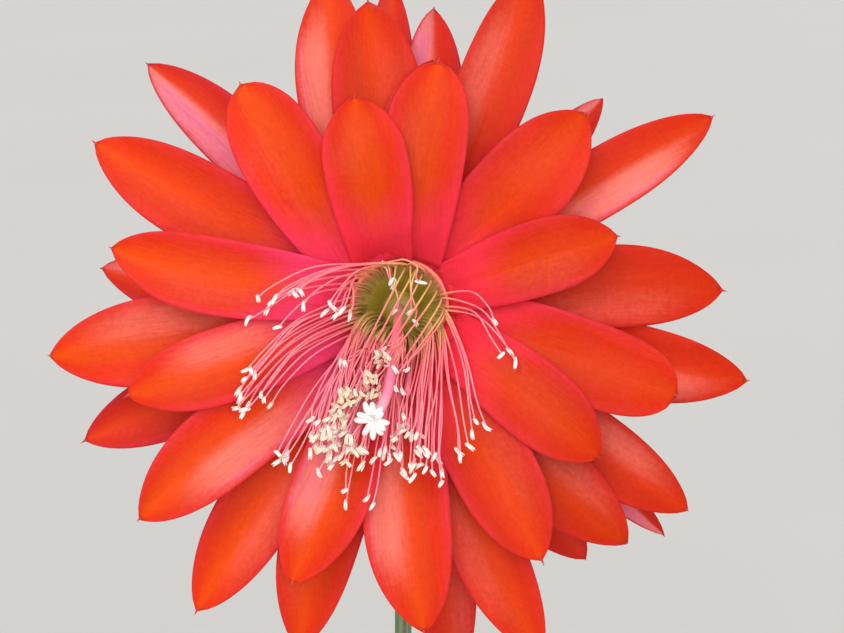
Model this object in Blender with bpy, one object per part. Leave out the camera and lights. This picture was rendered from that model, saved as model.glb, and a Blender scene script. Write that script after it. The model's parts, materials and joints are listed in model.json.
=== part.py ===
"""A potted orchid cactus (an epiphyllum hybrid) with one open bloom.

Units are metres and +Z is up. The origin is the centre of the pot's underside.
The bloom faces -Y and a little up. Its own frame has X to the right, Y up and Z
forward, out of the throat, and its tables are in millimetres.
"""

import math
import random
from collections import namedtuple

import bmesh
import bpy
import numpy as np
from mathutils import Matrix, Vector
from mathutils.geometry import interpolate_bezier

MM = 0.001
SEED = 11
SEAT_GAP = 0.3 * MM  # between two pieces that touch

# Clay pot
POT_HEIGHT = 135 * MM
POT_FOOT_RADIUS = 51 * MM
POT_SHOULDER_RADIUS = 68 * MM  # outside of the wall just under the rim band
POT_RIM_RADIUS = 76 * MM
POT_RIM_HEIGHT = 27 * MM
POT_WALL = 6 * MM
POT_FLOOR = 8 * MM
POT_SIDES = 36
DRAIN_RADIUS = 5 * MM
DRAIN_RING_RADIUS = 27 * MM
DRAIN_COUNT = 4

# Potting mix
SOIL_LEVEL = 120 * MM  # at the wall
SOIL_DOME = 5 * MM  # how much higher its middle is
SOIL_LUMP = 0.9 * MM
SOIL_SIDES = POT_SIDES

# Flat stems
SHANK_RADIUS = 3.8 * MM
SHANK_LENGTH = 44 * MM
SHANK_IN_SOIL = 30 * MM
WIDENING = 34 * MM  # from the round shank to the full flat width
LOBE = 33 * MM  # from one notch of a margin to the next
LOBE_STEPS = 5
NOTCH_DEPTH = 0.24  # of the half width
MARGIN_THICKNESS = 1.6 * MM
MIDRIB_THICKNESS = 5.0 * MM
STEM_TIP = 16 * MM  # the rounded end

# Bloom
BLOOM_CENTRE = Vector((0.0, -100 * MM, 335 * MM))  # middle of the throat's rim
BLOOM_TILT = math.radians(12)
VIEW_DISTANCE = 800.0  # mm, from which the tips below were measured
BLADE = 0.7  # mm, thickness of a tepal
RING_SIDES = 16
BLOOM_NOTCH = 6  # the notch of stem_1 that the bloom grows from
CUSHION_RADIUS = 3.6 * MM
CUSHION_LENGTH = 5.0 * MM
CUSHION_RISE = math.radians(26)

# Throat, in mm: depth behind the rim, outer radius
FUNNEL = ((-38.0, 4.6), (-30.0, 5.0), (-24.0, 5.8), (-14.0, 8.4), (-6.0, 11.0), (0.0, 12.6))
FUNNEL_WALL = 1.1
FUNNEL_FLOOR = -24.0
STYLE_RADIUS = 1.2
STYLE_SOCKET = 4.0

# Foot in the soil in mm, compass heading of its lean, final lean from upright, length over
# which it bends in mm, lobes along a margin, full width in mm, compass angle of its width
Stem = namedtuple("Stem", "foot heading lean arch lobes width face twist")
STEMS = {
    "stem_1": Stem((0, 13), 90, 4, 200, 6.6, 46, -90, 0),
    "stem_2": Stem((-33, 27), 150, 158, 168, 6.2, 44, 60, 8),
    "stem_3": Stem((34, 24), 28, 152, 152, 5.2, 43, -62, -8),
    "stem_4": Stem((-42, -8), 191, 160, 200, 7.6, 42, 101, 6),
    "stem_5": Stem((42, -14), -12, 150, 188, 6.4, 44, 78, -8),
    "stem_6": Stem((4, 50), 92, 150, 145, 4.8, 42, 182, 5),
    "stem_7": Stem((-12, -42), -112, 142, 142, 4.2, 36, -22, -6),
}

# Tepals: tip to the right and up of the throat's middle in mm, angle of the root on the
# ring in degrees, full width in mm. Each list runs from the back of the bloom to its front.
Tepal = namedtuple("Tepal", "tip root width")
SEPALS = (
    Tepal((13.8, -93.0), -80, 15),
    Tepal((-2.5, 82.0), 95, 12),
    Tepal((8.3, 74.8), 76, 13),
    Tepal((65.8, -56.5), -38, 10),
    Tepal((46.8, -61.3), -56, 13),
    Tepal((50.5, 52.3), 50, 13),
    Tepal((-78.8, -33.0), 203, 15),
    Tepal((-74.5, 10.0), 170, 15),
    Tepal((-63.0, 61.0), 136, 16),
)
MIDDLE_PETALS = (
    Tepal((33.0, 84.5), 63, 20),
    Tepal((-18.0, 82.5), 112, 17),
    Tepal((35.3, -86.8), -68, 20),
    Tepal((-25.0, -85.0), -104, 19),
    Tepal((78.0, 47.8), 37, 17),
    Tepal((-8.0, 76.5), 94, 23),
    Tepal((-50.8, -76.0), -126, 19),
    Tepal((72.5, -50.3), -35, 18),
    Tepal((56.8, -58.5), -49, 20),
    Tepal((86.8, -18.0), -10, 18),
    Tepal((80.5, 4.5), 9, 19),
    Tepal((-87.5, -12.0), 188, 21),
    Tepal((-76.3, 41.3), 151, 19),
    Tepal((8.5, 62.0), 87, 20),
)
INNER_PETALS = (
    Tepal((6.0, -81.0), -85, 21),
    Tepal((46.5, 49.0), 48, 23),
    Tepal((69.3, -21.8), -4, 21),
    Tepal((-65.0, -53.0), -141, 21),
    Tepal((-39.8, 55.8), 138, 22),
    Tepal((-27.0, -68.8), -113, 20),
    Tepal((35.5, -63.0), -55, 21),
    Tepal((-68.0, -21.8), -167, 18),
    Tepal((9.5, 61.5), 73, 21),
    Tepal((54.3, 18.0), 22, 19),
    Tepal((50.0, -37.3), -29, 20),
    Tepal((-72.0, 15.5), 165, 20),
    Tepal((-11.3, 52.8), 108, 21),
)

# How a kind of tepal runs forward, in mm: root radius and depth, rise, fall at the tip,
# rim channel as a share of the half width, and the clearance to what lies behind it
Habit = namedtuple("Habit", "root_radius root_depth rise fall channel clearance")
SEPAL_HABIT = Habit(10.9, -10.8, 8.0, 15.0, 0.20, 1.3)
MIDDLE_HABIT = Habit(13.2, -3.8, 10.8, 9.0, 0.14, 1.3)
INNER_HABIT = Habit(13.7, -1.8, 17.0, 5.0, 0.18, 1.3)
SEPAL_TO_PETAL = 1.9  # the middle petals' clearance to the sepals

# Rings that the tepals and filaments grow from, in mm: back, front, thickness
SEPAL_RING = (-13.0, -8.6, 1.9)
PETAL_RING = (-5.5, -0.2, 4.0)
STAMEN_RING = (-13.0, -2.5, 1.0)

TEPAL_ROWS = (0.0, 0.14, 0.34, 0.56, 0.78, 0.93, 1.0)
TEPAL_COLUMNS = (-1.0, -0.5, 0.0, 0.5, 1.0)

# Stamens: middle and spread of a group of anthers in mm, how far forward they stand,
# the root angles on the ring, the upward bulge of the filaments, and how many
Group = namedtuple("Group", "middle spread forward roots bulge count")
STAMEN_GROUPS = (
    Group((-27, 0.5), (9, 4.5), 19, (118, 172), 5, 8),
    Group((-36, -20), (4.5, 6), 21, (150, 195), 3, 6),
    Group((-28, -37), (2, 2), 22, (190, 215), 2, 2),
    Group((-14, -33), (6.5, 5.5), 24, (200, 262), 2, 12),
    Group((-9, -16), (3.5, 5), 24, (205, 250), 2, 4),
    Group((5.5, -37), (5, 6.5), 23, (268, 318), 1, 6),
    Group((17.5, -30), (3.5, 3.5), 21, (318, 344), 2, 3),
    Group((26, -8), (3, 5), 18, (350, 372), 5, 3),
    Group((2, 8), (4, 4), 10, (60, 118), 3, 3),
)
FILAMENT_RADIUS = 0.42
ANTHER_LENGTH = 2.7
ANTHER_RADIUS = 0.85
STYLE_ROUTE = ((0, 0, -27.7), (0, 0, -8), (-0.5, -3, 6), (-2.0, -12, 17), (-3.6, -21, 24), (-6.0, -27, 28))
STIGMA_LOBES = 10
STIGMA_RADIUS = 4.6

# Bracts on the tube: place along the tube, angle round it, length and width in mm
BRACTS = (
    (0.10, 80, 4, 3.5), (0.18, 215, 5, 3.5), (0.25, 330, 6, 4), (0.33, 130, 7, 4),
    (0.41, 260, 9, 4), (0.49, 20, 10, 4.5), (0.57, 170, 12, 4.5), (0.65, 300, 14, 5),
)

CLAY = ("clay", (0.55, 0.24, 0.13), 0.85)
MIX = ("potting mix", (0.06, 0.035, 0.02), 0.95)
GREEN = ("stem green", (0.11, 0.24, 0.06), 0.5)
TUBE = ("tube green-red", (0.42, 0.30, 0.12), 0.5)
DEEP_RED = ("deep red", (0.60, 0.03, 0.02), 0.45)
ORANGE_RED = ("orange-red", (0.85, 0.06, 0.02), 0.45)
PINK = ("filament pink", (0.90, 0.35, 0.35), 0.5)
WHITE_PINK = ("stigma white", (0.92, 0.80, 0.78), 0.5)


# Plain helpers

def clear_scene():
    for old in list(bpy.data.objects):
        bpy.data.objects.remove(old, do_unlink=True)


def material(look):
    name, colour, roughness = look
    made = bpy.data.materials.new(name)
    made.use_nodes = True
    shader = made.node_tree.nodes["Principled BSDF"]
    shader.inputs["Base Color"].default_value = (*colour, 1.0)
    shader.inputs["Roughness"].default_value = roughness
    shader.inputs["Metallic"].default_value = 0.0
    return made


def smooth_step(value):
    value = np.clip(value, 0.0, 1.0)
    return value * value * (3.0 - 2.0 * value)


def make_object(name, points, faces):
    """A mesh object whose faces point out, from points in metres."""
    mesh = bpy.data.meshes.new(name)
    mesh.from_pydata([tuple(float(c) for c in p) for p in points], [], faces)
    shape = bmesh.new()
    shape.from_mesh(mesh)
    bmesh.ops.recalc_face_normals(shape, faces=shape.faces)
    shape.to_mesh(mesh)
    shape.free()
    made = bpy.data.objects.new(name, mesh)
    bpy.context.scene.collection.objects.link(made)
    return made


def finish(made, look, parent=None, crease=40):
    made.data.materials.clear()
    made.data.materials.append(material(look))
    made.data.shade_smooth()
    made.data.set_sharp_from_angle(angle=math.radians(crease))
    if parent:
        made.parent = parent
    return made


def tube_points(route, radii, sides, across=None):
    """Rings of points round a route, kept from twisting from one ring to the next."""
    route = [Vector(p) for p in route]
    across = Vector(across) if across else Vector((1.0, 0.0, 0.0))
    rings = []
    for i, centre in enumerate(route):
        ahead = route[min(i + 1, len(route) - 1)] - route[max(i - 1, 0)]
        ahead.normalize()
        across = (across - ahead * across.dot(ahead)).normalized()
        side = ahead.cross(across)
        turns = [2 * math.pi * k / sides for k in range(sides)]
        rings.append([centre + (across * math.cos(a) + side * math.sin(a)) * radii[i] for a in turns])
    return rings


def skin(name, rings):
    """A closed body over rings of equal length, with both ends capped."""
    sides = len(rings[0])
    points = [p for ring in rings for p in ring]
    faces = []
    for i in range(len(rings) - 1):
        for k in range(sides):
            n = (k + 1) % sides
            faces.append((i * sides + k, i * sides + n, (i + 1) * sides + n, (i + 1) * sides + k))
    faces.append(tuple(reversed(range(sides))))
    faces.append(tuple(range((len(rings) - 1) * sides, len(rings) * sides)))
    return make_object(name, points, faces)


def turned(name, profile, sides):
    """A body of revolution round Z from a profile of (radius, height) in metres.

    The profile is a closed loop, or it starts and ends on the axis.
    """
    shape = bmesh.new()
    points = [shape.verts.new((r, 0.0, z)) for r, z in profile]
    edges = [shape.edges.new(pair) for pair in zip(points, points[1:])]
    if profile[0][0] > 0:
        edges.append(shape.edges.new((points[-1], points[0])))
    bmesh.ops.spin(shape, geom=points + edges, axis=(0, 0, 1), cent=(0, 0, 0),
                   angle=2 * math.pi, steps=sides, use_merge=True)
    bmesh.ops.remove_doubles(shape, verts=shape.verts, dist=0.00001)
    bmesh.ops.recalc_face_normals(shape, faces=shape.faces)
    mesh = bpy.data.meshes.new(name)
    shape.to_mesh(mesh)
    shape.free()
    made = bpy.data.objects.new(name, mesh)
    bpy.context.scene.collection.objects.link(made)
    return made


def combine(base, others, operation, solver):
    """Apply one Boolean of a collection of objects to the base, then remove them."""
    group = bpy.data.collections.new(base.name + " tools")
    for other in others:
        group.objects.link(other)
    change = base.modifiers.new("combine", "BOOLEAN")
    change.operation = operation
    change.operand_type = "COLLECTION"
    change.collection = group
    change.solver = solver
    state = bpy.context.evaluated_depsgraph_get()
    result = bpy.data.meshes.new_from_object(base.evaluated_get(state), depsgraph=state)
    base.modifiers.clear()
    base.data = result
    shape = bmesh.new()
    shape.from_mesh(result)
    bmesh.ops.dissolve_degenerate(shape, edges=shape.edges, dist=0.001 * MM)
    shape.to_mesh(result)
    shape.free()
    for other in others:
        bpy.data.objects.remove(other, do_unlink=True)
    bpy.data.collections.remove(group)
    return base


def keep_main_body(made):
    """Fill sealed hollows and drop loose scraps, so that one outer body is left."""
    shape = bmesh.new()
    shape.from_mesh(made.data)
    left = set(shape.faces)
    bodies = []
    while left:
        waiting = [left.pop()]
        body = []
        while waiting:
            face = waiting.pop()
            body.append(face)
            for edge in face.edges:
                for other in edge.link_faces:
                    if other in left:
                        left.remove(other)
                        waiting.append(other)
        bodies.append(body)
    bodies.sort(key=len)
    for body in bodies[:-1]:
        bmesh.ops.delete(shape, geom=body, context="FACES")
    shape.to_mesh(made.data)
    shape.free()


# Pot and soil

def inner_wall_radius(height):
    """Inside radius of the pot at a height above the floor."""
    share = (height - POT_FLOOR) / (POT_HEIGHT - POT_FLOOR)
    low = POT_FOOT_RADIUS - POT_WALL
    high = POT_RIM_RADIUS - POT_WALL - 3 * MM
    return low + (high - low) * share


def make_pot():
    edge = 2 * MM
    band = POT_HEIGHT - POT_RIM_HEIGHT
    profile = [
        (0, 0),
        (POT_FOOT_RADIUS - edge, 0),
        (POT_FOOT_RADIUS, edge),
        (POT_SHOULDER_RADIUS, band),
        (POT_RIM_RADIUS - edge, band),
        (POT_RIM_RADIUS - 1.5 * MM, band + edge),
        (POT_RIM_RADIUS, POT_HEIGHT - edge),
        (POT_RIM_RADIUS - edge, POT_HEIGHT),
        (inner_wall_radius(POT_HEIGHT) + edge, POT_HEIGHT),
        (inner_wall_radius(POT_HEIGHT - edge), POT_HEIGHT - edge),
        (inner_wall_radius(POT_FLOOR + edge), POT_FLOOR + edge),
        (inner_wall_radius(POT_FLOOR) - edge, POT_FLOOR),
        (0, POT_FLOOR),
    ]
    pot = turned("pot", profile, POT_SIDES)
    drains = []
    for k in range(DRAIN_COUNT):
        angle = 2 * math.pi * (k + 0.5) / DRAIN_COUNT
        bpy.ops.mesh.primitive_cylinder_add(
            vertices=16, radius=DRAIN_RADIUS, depth=4 * POT_FLOOR,
            location=(DRAIN_RING_RADIUS * math.cos(angle), DRAIN_RING_RADIUS * math.sin(angle), 0))
        drains.append(bpy.context.object)
    combine(pot, drains, "DIFFERENCE", "EXACT")
    return finish(pot, CLAY)


def make_soil():
    bottom = POT_FLOOR + SEAT_GAP
    lowest_side = POT_FLOOR + 2 * MM + SEAT_GAP
    profile = [
        (0, bottom),
        (inner_wall_radius(POT_FLOOR) - 2 * MM - SEAT_GAP, bottom),
        (inner_wall_radius(lowest_side) - 1.5 * SEAT_GAP, lowest_side),
    ]
    edge = inner_wall_radius(SOIL_LEVEL) - 1.5 * SEAT_GAP
    for share in (1.0, 0.9, 0.7, 0.48, 0.25, 0.0):
        profile.append((edge * share, SOIL_LEVEL + SOIL_DOME * (1 - share * share)))
    soil = turned("soil", profile, SOIL_SIDES)
    for vert in soil.data.vertices:
        x, y, z = vert.co
        if z > SOIL_LEVEL + 0.1 * MM:
            lump = math.sin(x * 310 + 1.3) * math.sin(y * 270 + 0.4) + 0.6 * math.sin(x * 640 - y * 590)
            vert.co.z += SOIL_LUMP * lump
    holes = []
    for stem in STEMS.values():
        depth = SHANK_IN_SOIL + SEAT_GAP
        bpy.ops.mesh.primitive_cylinder_add(
            vertices=12, radius=SHANK_RADIUS + 2 * SEAT_GAP, depth=2 * depth,
            location=(stem.foot[0] * MM, stem.foot[1] * MM, shank_bottom() - SEAT_GAP + depth))
        holes.append(bpy.context.object)
    combine(soil, holes, "DIFFERENCE", "EXACT")
    return finish(soil, MIX)


def soil_surface():
    """A middling height of the soil where the stems stand."""
    return SOIL_LEVEL + 0.6 * SOIL_DOME


def shank_bottom():
    return soil_surface() - SHANK_IN_SOIL


# Flat stems

def margin(place, width, length, phase):
    """Distance of one margin from the midrib at a place along the stem."""
    half = width / 2
    grown = smooth_step((place - SHANK_LENGTH) / WIDENING)
    step = (place / LOBE + phase) % 1.0
    lobe = min(step / 0.42, (1.0 - step) / 0.58)
    scallop = 1.0 - NOTCH_DEPTH * grown * (1.0 - math.sin(min(lobe, 1.0) * math.pi / 2)) ** 1.6
    ahead = max((length - place) / STEM_TIP, 0.0)
    rounding = math.sqrt(1.0 - (1.0 - min(ahead, 1.0)) ** 2)
    return SHANK_RADIUS + (half - SHANK_RADIUS) * grown * scallop * max(rounding, 0.12)


def stem_stations(stem):
    """Places along a stem, from its foot to its tip."""
    first = SHANK_LENGTH
    length = first + WIDENING * 0.5 + stem.lobes * LOBE
    places = [0.0, SHANK_IN_SOIL, first]
    step = LOBE / LOBE_STEPS
    start = math.ceil(first / step + 0.5) * step
    while start < length - 0.6 * step:
        places.append(start)
        start += step
    places.extend((length - 0.25 * STEM_TIP, length))
    places = sorted(p for p in places if p <= length)
    return [p for i, p in enumerate(places) if i == 0 or p - places[i - 1] > 1.2 * MM], length


def stem_frame(stem, place, length):
    """Centre, direction, width direction and thickness direction at a place."""
    steps = 60
    heading = math.radians(stem.heading)
    out = Vector((math.cos(heading), math.sin(heading), 0.0))
    up = Vector((0.0, 0.0, 1.0))
    centre = Vector((stem.foot[0] * MM, stem.foot[1] * MM, shank_bottom()))
    ahead = up
    for i in range(steps):
        middle = (i + 0.5) / steps * place
        bend = math.radians(stem.lean) * float(smooth_step((middle - SHANK_IN_SOIL) / (stem.arch * MM)))
        ahead = up * math.cos(bend) + out * math.sin(bend)
        centre = centre + ahead * (place / steps)
    turn = math.radians(stem.face + stem.twist * place / length)
    across = Vector((math.cos(turn), math.sin(turn), 0.0))
    across = (across - ahead * across.dot(ahead)).normalized()
    return centre, ahead, across, ahead.cross(across)


def make_stem(name, stem):
    places, length = stem_stations(stem)
    rings = []
    for place in places:
        centre, _, across, through = stem_frame(stem, place, length)
        right = margin(place, stem.width * MM, length, 0.0)
        left = margin(place, stem.width * MM, length, 0.5)
        flat = float(smooth_step((place - SHANK_LENGTH) / WIDENING))
        thin = 1.0 - 0.35 * place / length
        edge = 0.5 * MARGIN_THICKNESS * flat + 0.8 * SHANK_RADIUS * (1 - flat)
        rib = 0.5 * MIDRIB_THICKNESS * thin * flat + SHANK_RADIUS * (1 - flat)
        inset = 1.0 - 0.45 * (1 - flat)
        ring = [
            centre + across * right * inset + through * edge,
            centre + through * rib,
            centre - across * left * inset + through * edge,
            centre - across * left * inset - through * edge,
            centre - through * rib,
            centre + across * right * inset - through * edge,
        ]
        rings.append(ring)
    made = skin(name, rings)
    if name == "stem_1":
        start, growth = areole()
        cushion = skin("cushion", tube_points(
            [start - growth * 6 * MM, start], [CUSHION_RADIUS, CUSHION_RADIUS], 12))
        combine(made, [cushion], "UNION", "EXACT")
    return finish(made, GREEN)


def areole():
    """Where the bloom grows from the margin of stem_1, and the direction it sets out in."""
    stem = STEMS["stem_1"]
    length = stem_stations(stem)[1]
    place = BLOOM_NOTCH * LOBE
    centre, ahead, across, _ = stem_frame(stem, place, length)
    growth = across * math.cos(CUSHION_RISE) + ahead * math.sin(CUSHION_RISE)
    notch = centre + across * margin(place, stem.width * MM, length, 0.0)
    return notch + growth * CUSHION_LENGTH, growth


# The bloom's own frame

def bloom_axis():
    axis = bpy.data.objects.new("bloom_axis", None)
    bpy.context.scene.collection.objects.link(axis)
    axis.location = BLOOM_CENTRE
    axis.rotation_euler = (math.pi / 2 - BLOOM_TILT, 0.0, 0.0)
    return axis


def to_bloom(point):
    """A world point in the bloom's frame."""
    turn = Matrix.Rotation(math.pi / 2 - BLOOM_TILT, 3, "X")
    return turn.transposed() @ (point - BLOOM_CENTRE)


def funnel_radius(depth):
    depths, radii = zip(*FUNNEL)
    return float(np.interp(depth, depths, radii))


def ring_round_funnel(name, back, front, thickness, inside=False):
    """A closed ring that follows the funnel, outside it or as a lining, in metres."""
    depths = np.linspace(back, front, 3)
    gap = SEAT_GAP / MM
    if inside:
        outer = [funnel_radius(d) - FUNNEL_WALL - gap for d in depths]
        inner = [r - thickness for r in outer]
    else:
        inner = [funnel_radius(d) + gap for d in depths]
        outer = [r + thickness for r in inner]
    profile = [(r * MM, d * MM) for r, d in zip(outer, depths)]
    profile += [(r * MM, d * MM) for r, d in reversed(list(zip(inner, depths)))]
    return turned(name, profile, RING_SIDES)


class Relief:
    """The foremost surface so far over the bloom's face, on a fine grid of cells."""

    CELL = 0.5
    HALF = 120.0
    NOTHING = -1000.0

    def __init__(self):
        count = int(2 * self.HALF / self.CELL)
        self.front = np.full((count, count), self.NOTHING)

    def cells(self, right, up):
        last = len(self.front) - 1
        i = np.clip(((right + self.HALF) / self.CELL).astype(int), 0, last)
        j = np.clip(((up + self.HALF) / self.CELL).astype(int), 0, last)
        return i, j

    def read(self, right, up):
        return self.front[self.cells(right, up)]

    def add(self, dense):
        np.maximum.at(self.front, self.cells(dense[..., 0], dense[..., 1]), dense[..., 2])


def line_weights(marks, count):
    """Weights that interpolate values at the marks onto evenly spaced places."""
    marks = np.asarray(marks)
    places = np.linspace(marks[0], marks[-1], count)
    return np.array([np.interp(places, marks, unit) for unit in np.eye(len(marks))]).T, places


ROW_WEIGHTS, ROW_PLACES = line_weights(TEPAL_ROWS, 220)
COLUMN_WEIGHTS, COLUMN_PLACES = line_weights(TEPAL_COLUMNS, 70)


def dense_surface(grid):
    return np.einsum("Rr,rck,Cc->RCk", ROW_WEIGHTS, grid, COLUMN_WEIGHTS)


def drape(grid, relief, clearance):
    """Push a tepal's grid forward until it clears everything already placed."""
    free = smooth_step((ROW_PLACES - 0.05) / 0.12)[:, None]
    rows = np.abs(ROW_PLACES[:, None] - np.asarray(TEPAL_ROWS)[None, :])
    columns = np.abs(COLUMN_PLACES[:, None] - np.asarray(TEPAL_COLUMNS)[None, :])
    near_row = rows <= 0.12
    near_column = columns <= 0.5
    for _ in range(5):
        dense = dense_surface(grid)
        need = np.maximum(relief.read(dense[..., 0], dense[..., 1]) + clearance - dense[..., 2], 0.0) * free
        if need.max() < 0.05:
            break
        lift = np.zeros(grid.shape[:2])
        for r in range(grid.shape[0]):
            for c in range(grid.shape[1]):
                lift[r, c] = need[np.ix_(near_row[:, r], near_column[:, c])].max()
        lift[0] = 0.0
        for _ in range(2):
            padded = np.pad(lift, 1, mode="edge")
            blur = (padded[:-2, 1:-1] + padded[2:, 1:-1] + padded[1:-1, :-2] + padded[1:-1, 2:]) / 4
            lift = np.maximum(lift, blur)
            lift[0] = 0.0
        grid[..., 2] += lift
    return grid


def half_width(share):
    """Outline of a tepal from root to tip, as a share of its half width."""
    widest = 0.57
    rising = 0.34 + 0.66 * np.sin(np.clip(share / widest, 0, 1) * math.pi / 2)
    past = np.clip((share - widest) / (1 - widest), 0, 1)
    return np.where(share < widest, rising, np.maximum((1 - past ** 2.6) ** 0.75, 0.03))


def tepal_grid(tepal, habit, rng):
    """The middle surface of a tepal as rows from root to tip, in mm."""
    share = np.asarray(TEPAL_ROWS)[:, None]
    across = np.asarray(TEPAL_COLUMNS)[None, :]
    angle = math.radians(tepal.root)
    root = np.array([math.cos(angle), math.sin(angle)]) * (habit.root_radius + rng.uniform(-0.25, 0.25))
    tip = np.array(tepal.tip)
    along = tip - root
    side = np.array([-along[1], along[0]]) / np.linalg.norm(along)
    sway = rng.uniform(-1.2, 1.2)
    half = 0.5 * tepal.width * half_width(share)
    depth = habit.root_depth + rng.uniform(-0.5, 0.5) + habit.rise * (1 - (1 - share) ** 2.2) - habit.fall * share ** 3
    depth = depth + habit.channel * half * np.abs(across) ** 1.6
    depth = depth + 0.35 * np.sin(share * 11 + rng.uniform(0, 6) + across) * across * share
    centre = root + along * share[..., None] + side * (sway * np.sin(share * math.pi))[..., None]
    flat = centre + side * (half * across)[..., None]
    return np.concatenate([flat, depth[..., None]], axis=2)


def true_size(grid):
    """Undo the viewing perspective: what stands forward looks larger than it is."""
    grid = grid.copy()
    grid[..., :2] *= 1 - grid[..., 2:3] / VIEW_DISTANCE
    return grid


def blade_object(name, grid, thickness=BLADE):
    """A thin closed blade with both faces split into triangles alike, from a grid in mm."""
    down = np.gradient(grid, axis=0)
    over = np.gradient(grid, axis=1)
    normal = np.cross(over, down)
    normal /= np.linalg.norm(normal, axis=2, keepdims=True)
    rows, columns = grid.shape[:2]
    front = (grid + normal * thickness / 2).reshape(-1, 3)
    back = (grid - normal * thickness / 2).reshape(-1, 3)
    points = np.concatenate([front, back]) * MM
    shift = rows * columns
    faces = []
    for r in range(rows - 1):
        for c in range(columns - 1):
            a, b = r * columns + c, r * columns + c + 1
            d, e = a + columns, b + columns
            faces += [(a, d, b), (b, d, e)]
            faces += [(a + shift, b + shift, d + shift), (b + shift, e + shift, d + shift)]
    rim = [(0, c) for c in range(columns)] + [(r, columns - 1) for r in range(1, rows)]
    rim += [(rows - 1, c) for c in range(columns - 2, -1, -1)] + [(r, 0) for r in range(rows - 2, 0, -1)]
    rim = [r * columns + c for r, c in rim]
    for here, there in zip(rim, rim[1:] + rim[:1]):
        faces += [(here, there, there + shift), (here, there + shift, here + shift)]
    return make_object(name, points, faces)


def place_tepals(tepals, habit, relief, clearance, rng):
    """Blades for one list of tepals, each laid in front of the ones before it."""
    blades = []
    for number, tepal in enumerate(tepals):
        grid = drape(tepal_grid(tepal, habit, rng), relief, clearance)
        relief.add(dense_surface(grid))
        blades.append(blade_object(f"tepal {number}", true_size(grid)))
    return blades


def make_tepals(axis):
    """The sepals and the petals, each fused on its ring, and the relief of the whole."""
    rng = random.Random(SEED)
    relief = Relief()
    outer = place_tepals(SEPALS, SEPAL_HABIT, relief, SEPAL_HABIT.clearance, rng)
    sepals = ring_round_funnel("sepals", *SEPAL_RING)
    combine(sepals, outer, "UNION", "MANIFOLD")
    keep_main_body(sepals)

    relief.front = np.where(relief.front > Relief.NOTHING, relief.front + SEPAL_TO_PETAL
                            - MIDDLE_HABIT.clearance, relief.front)
    blades = place_tepals(MIDDLE_PETALS, MIDDLE_HABIT, relief, MIDDLE_HABIT.clearance, rng)
    blades += place_tepals(INNER_PETALS, INNER_HABIT, relief, INNER_HABIT.clearance, rng)
    petals = ring_round_funnel("petals", *PETAL_RING)
    combine(petals, blades, "UNION", "MANIFOLD")
    keep_main_body(petals)

    finish(sepals, DEEP_RED, axis)
    finish(petals, ORANGE_RED, axis)
    return relief


def tube_route():
    """The tube's middle line from the areole to the back of the funnel, in the bloom's frame."""
    start, growth = areole()
    turn = Matrix.Rotation(math.pi / 2 - BLOOM_TILT, 3, "X").transposed()
    foot = to_bloom(start) + turn @ growth * SEAT_GAP
    heading = turn @ growth
    end = Vector((0.0, 0.0, FUNNEL[0][0] * MM))
    reach = 0.42 * (end - foot).length
    start = foot + heading * 1.5 * MM
    return [foot] + interpolate_bezier(start, start + heading * reach, end - Vector((0, 0, reach)), end, 11)


def tube_radius(share):
    """Radius of the tube in mm: a swollen ovary at the foot, then a slender tube."""
    marks = (0.0, 0.07, 0.18, 0.30, 0.45, 0.7, 1.0)
    radii = (3.4, 3.9, 5.4, 5.4, 4.3, 4.2, FUNNEL[0][1])
    return float(np.interp(share, marks, radii))


def make_bloom_tube(axis):
    route = tube_route()
    radii = [tube_radius(i / (len(route) - 1)) * MM for i in range(len(route))]
    lengthwise = [Vector((0, 0, d * MM)) for d, _ in FUNNEL[1:]]
    rings = tube_points(route + lengthwise, radii + [r * MM for _, r in FUNNEL[1:]], RING_SIDES)
    for depth, radius in reversed(FUNNEL[2:]):
        inner = (radius - FUNNEL_WALL) * MM
        rings += tube_points([Vector((0, 0, depth * MM)), Vector((0, 0, depth * MM + MM))],
                             [inner, inner], RING_SIDES)[:1]
    socket = (STYLE_RADIUS + SEAT_GAP / MM) * MM
    for depth in (FUNNEL_FLOOR, FUNNEL_FLOOR - STYLE_SOCKET):
        rings += tube_points([Vector((0, 0, depth * MM)), Vector((0, 0, depth * MM + MM))],
                             [socket, socket], RING_SIDES)[:1]
    tube = skin("bloom_tube", rings)
    combine(tube, make_bracts(route), "UNION", "MANIFOLD")
    keep_main_body(tube)
    return finish(tube, TUBE, axis)


def make_bracts(route):
    """Small pointed scales that clasp the tube and point along it."""
    bracts = []
    for share, around, length, width in BRACTS:
        i = min(int(share * (len(route) - 1)), len(route) - 2)
        ahead = (route[i + 1] - route[i]).normalized()
        across = Vector((1.0, 0.0, 0.0))
        across = (across - ahead * across.dot(ahead)).normalized()
        side = ahead.cross(across)
        angle = math.radians(around)
        out = across * math.cos(angle) + side * math.sin(angle)
        over = ahead.cross(out)
        foot = route[i] / MM + out * (tube_radius(share) - 0.9)
        lift = math.radians(26)
        run = ahead * math.cos(lift) + out * math.sin(lift)
        grid = np.zeros((5, 3, 3))
        for r, along in enumerate((0.0, 0.3, 0.6, 0.85, 1.0)):
            half = 0.5 * width * (0.7, 1.0, 0.85, 0.45, 0.08)[r]
            for c, part in enumerate((-1, 0, 1)):
                bow = -0.12 * width * abs(part) * (1 - along)
                grid[r, c] = foot + run * length * along + over * half * part + out * bow
        bracts.append(blade_object("bract", grid))
    return bracts


# Stamens and style

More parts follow.
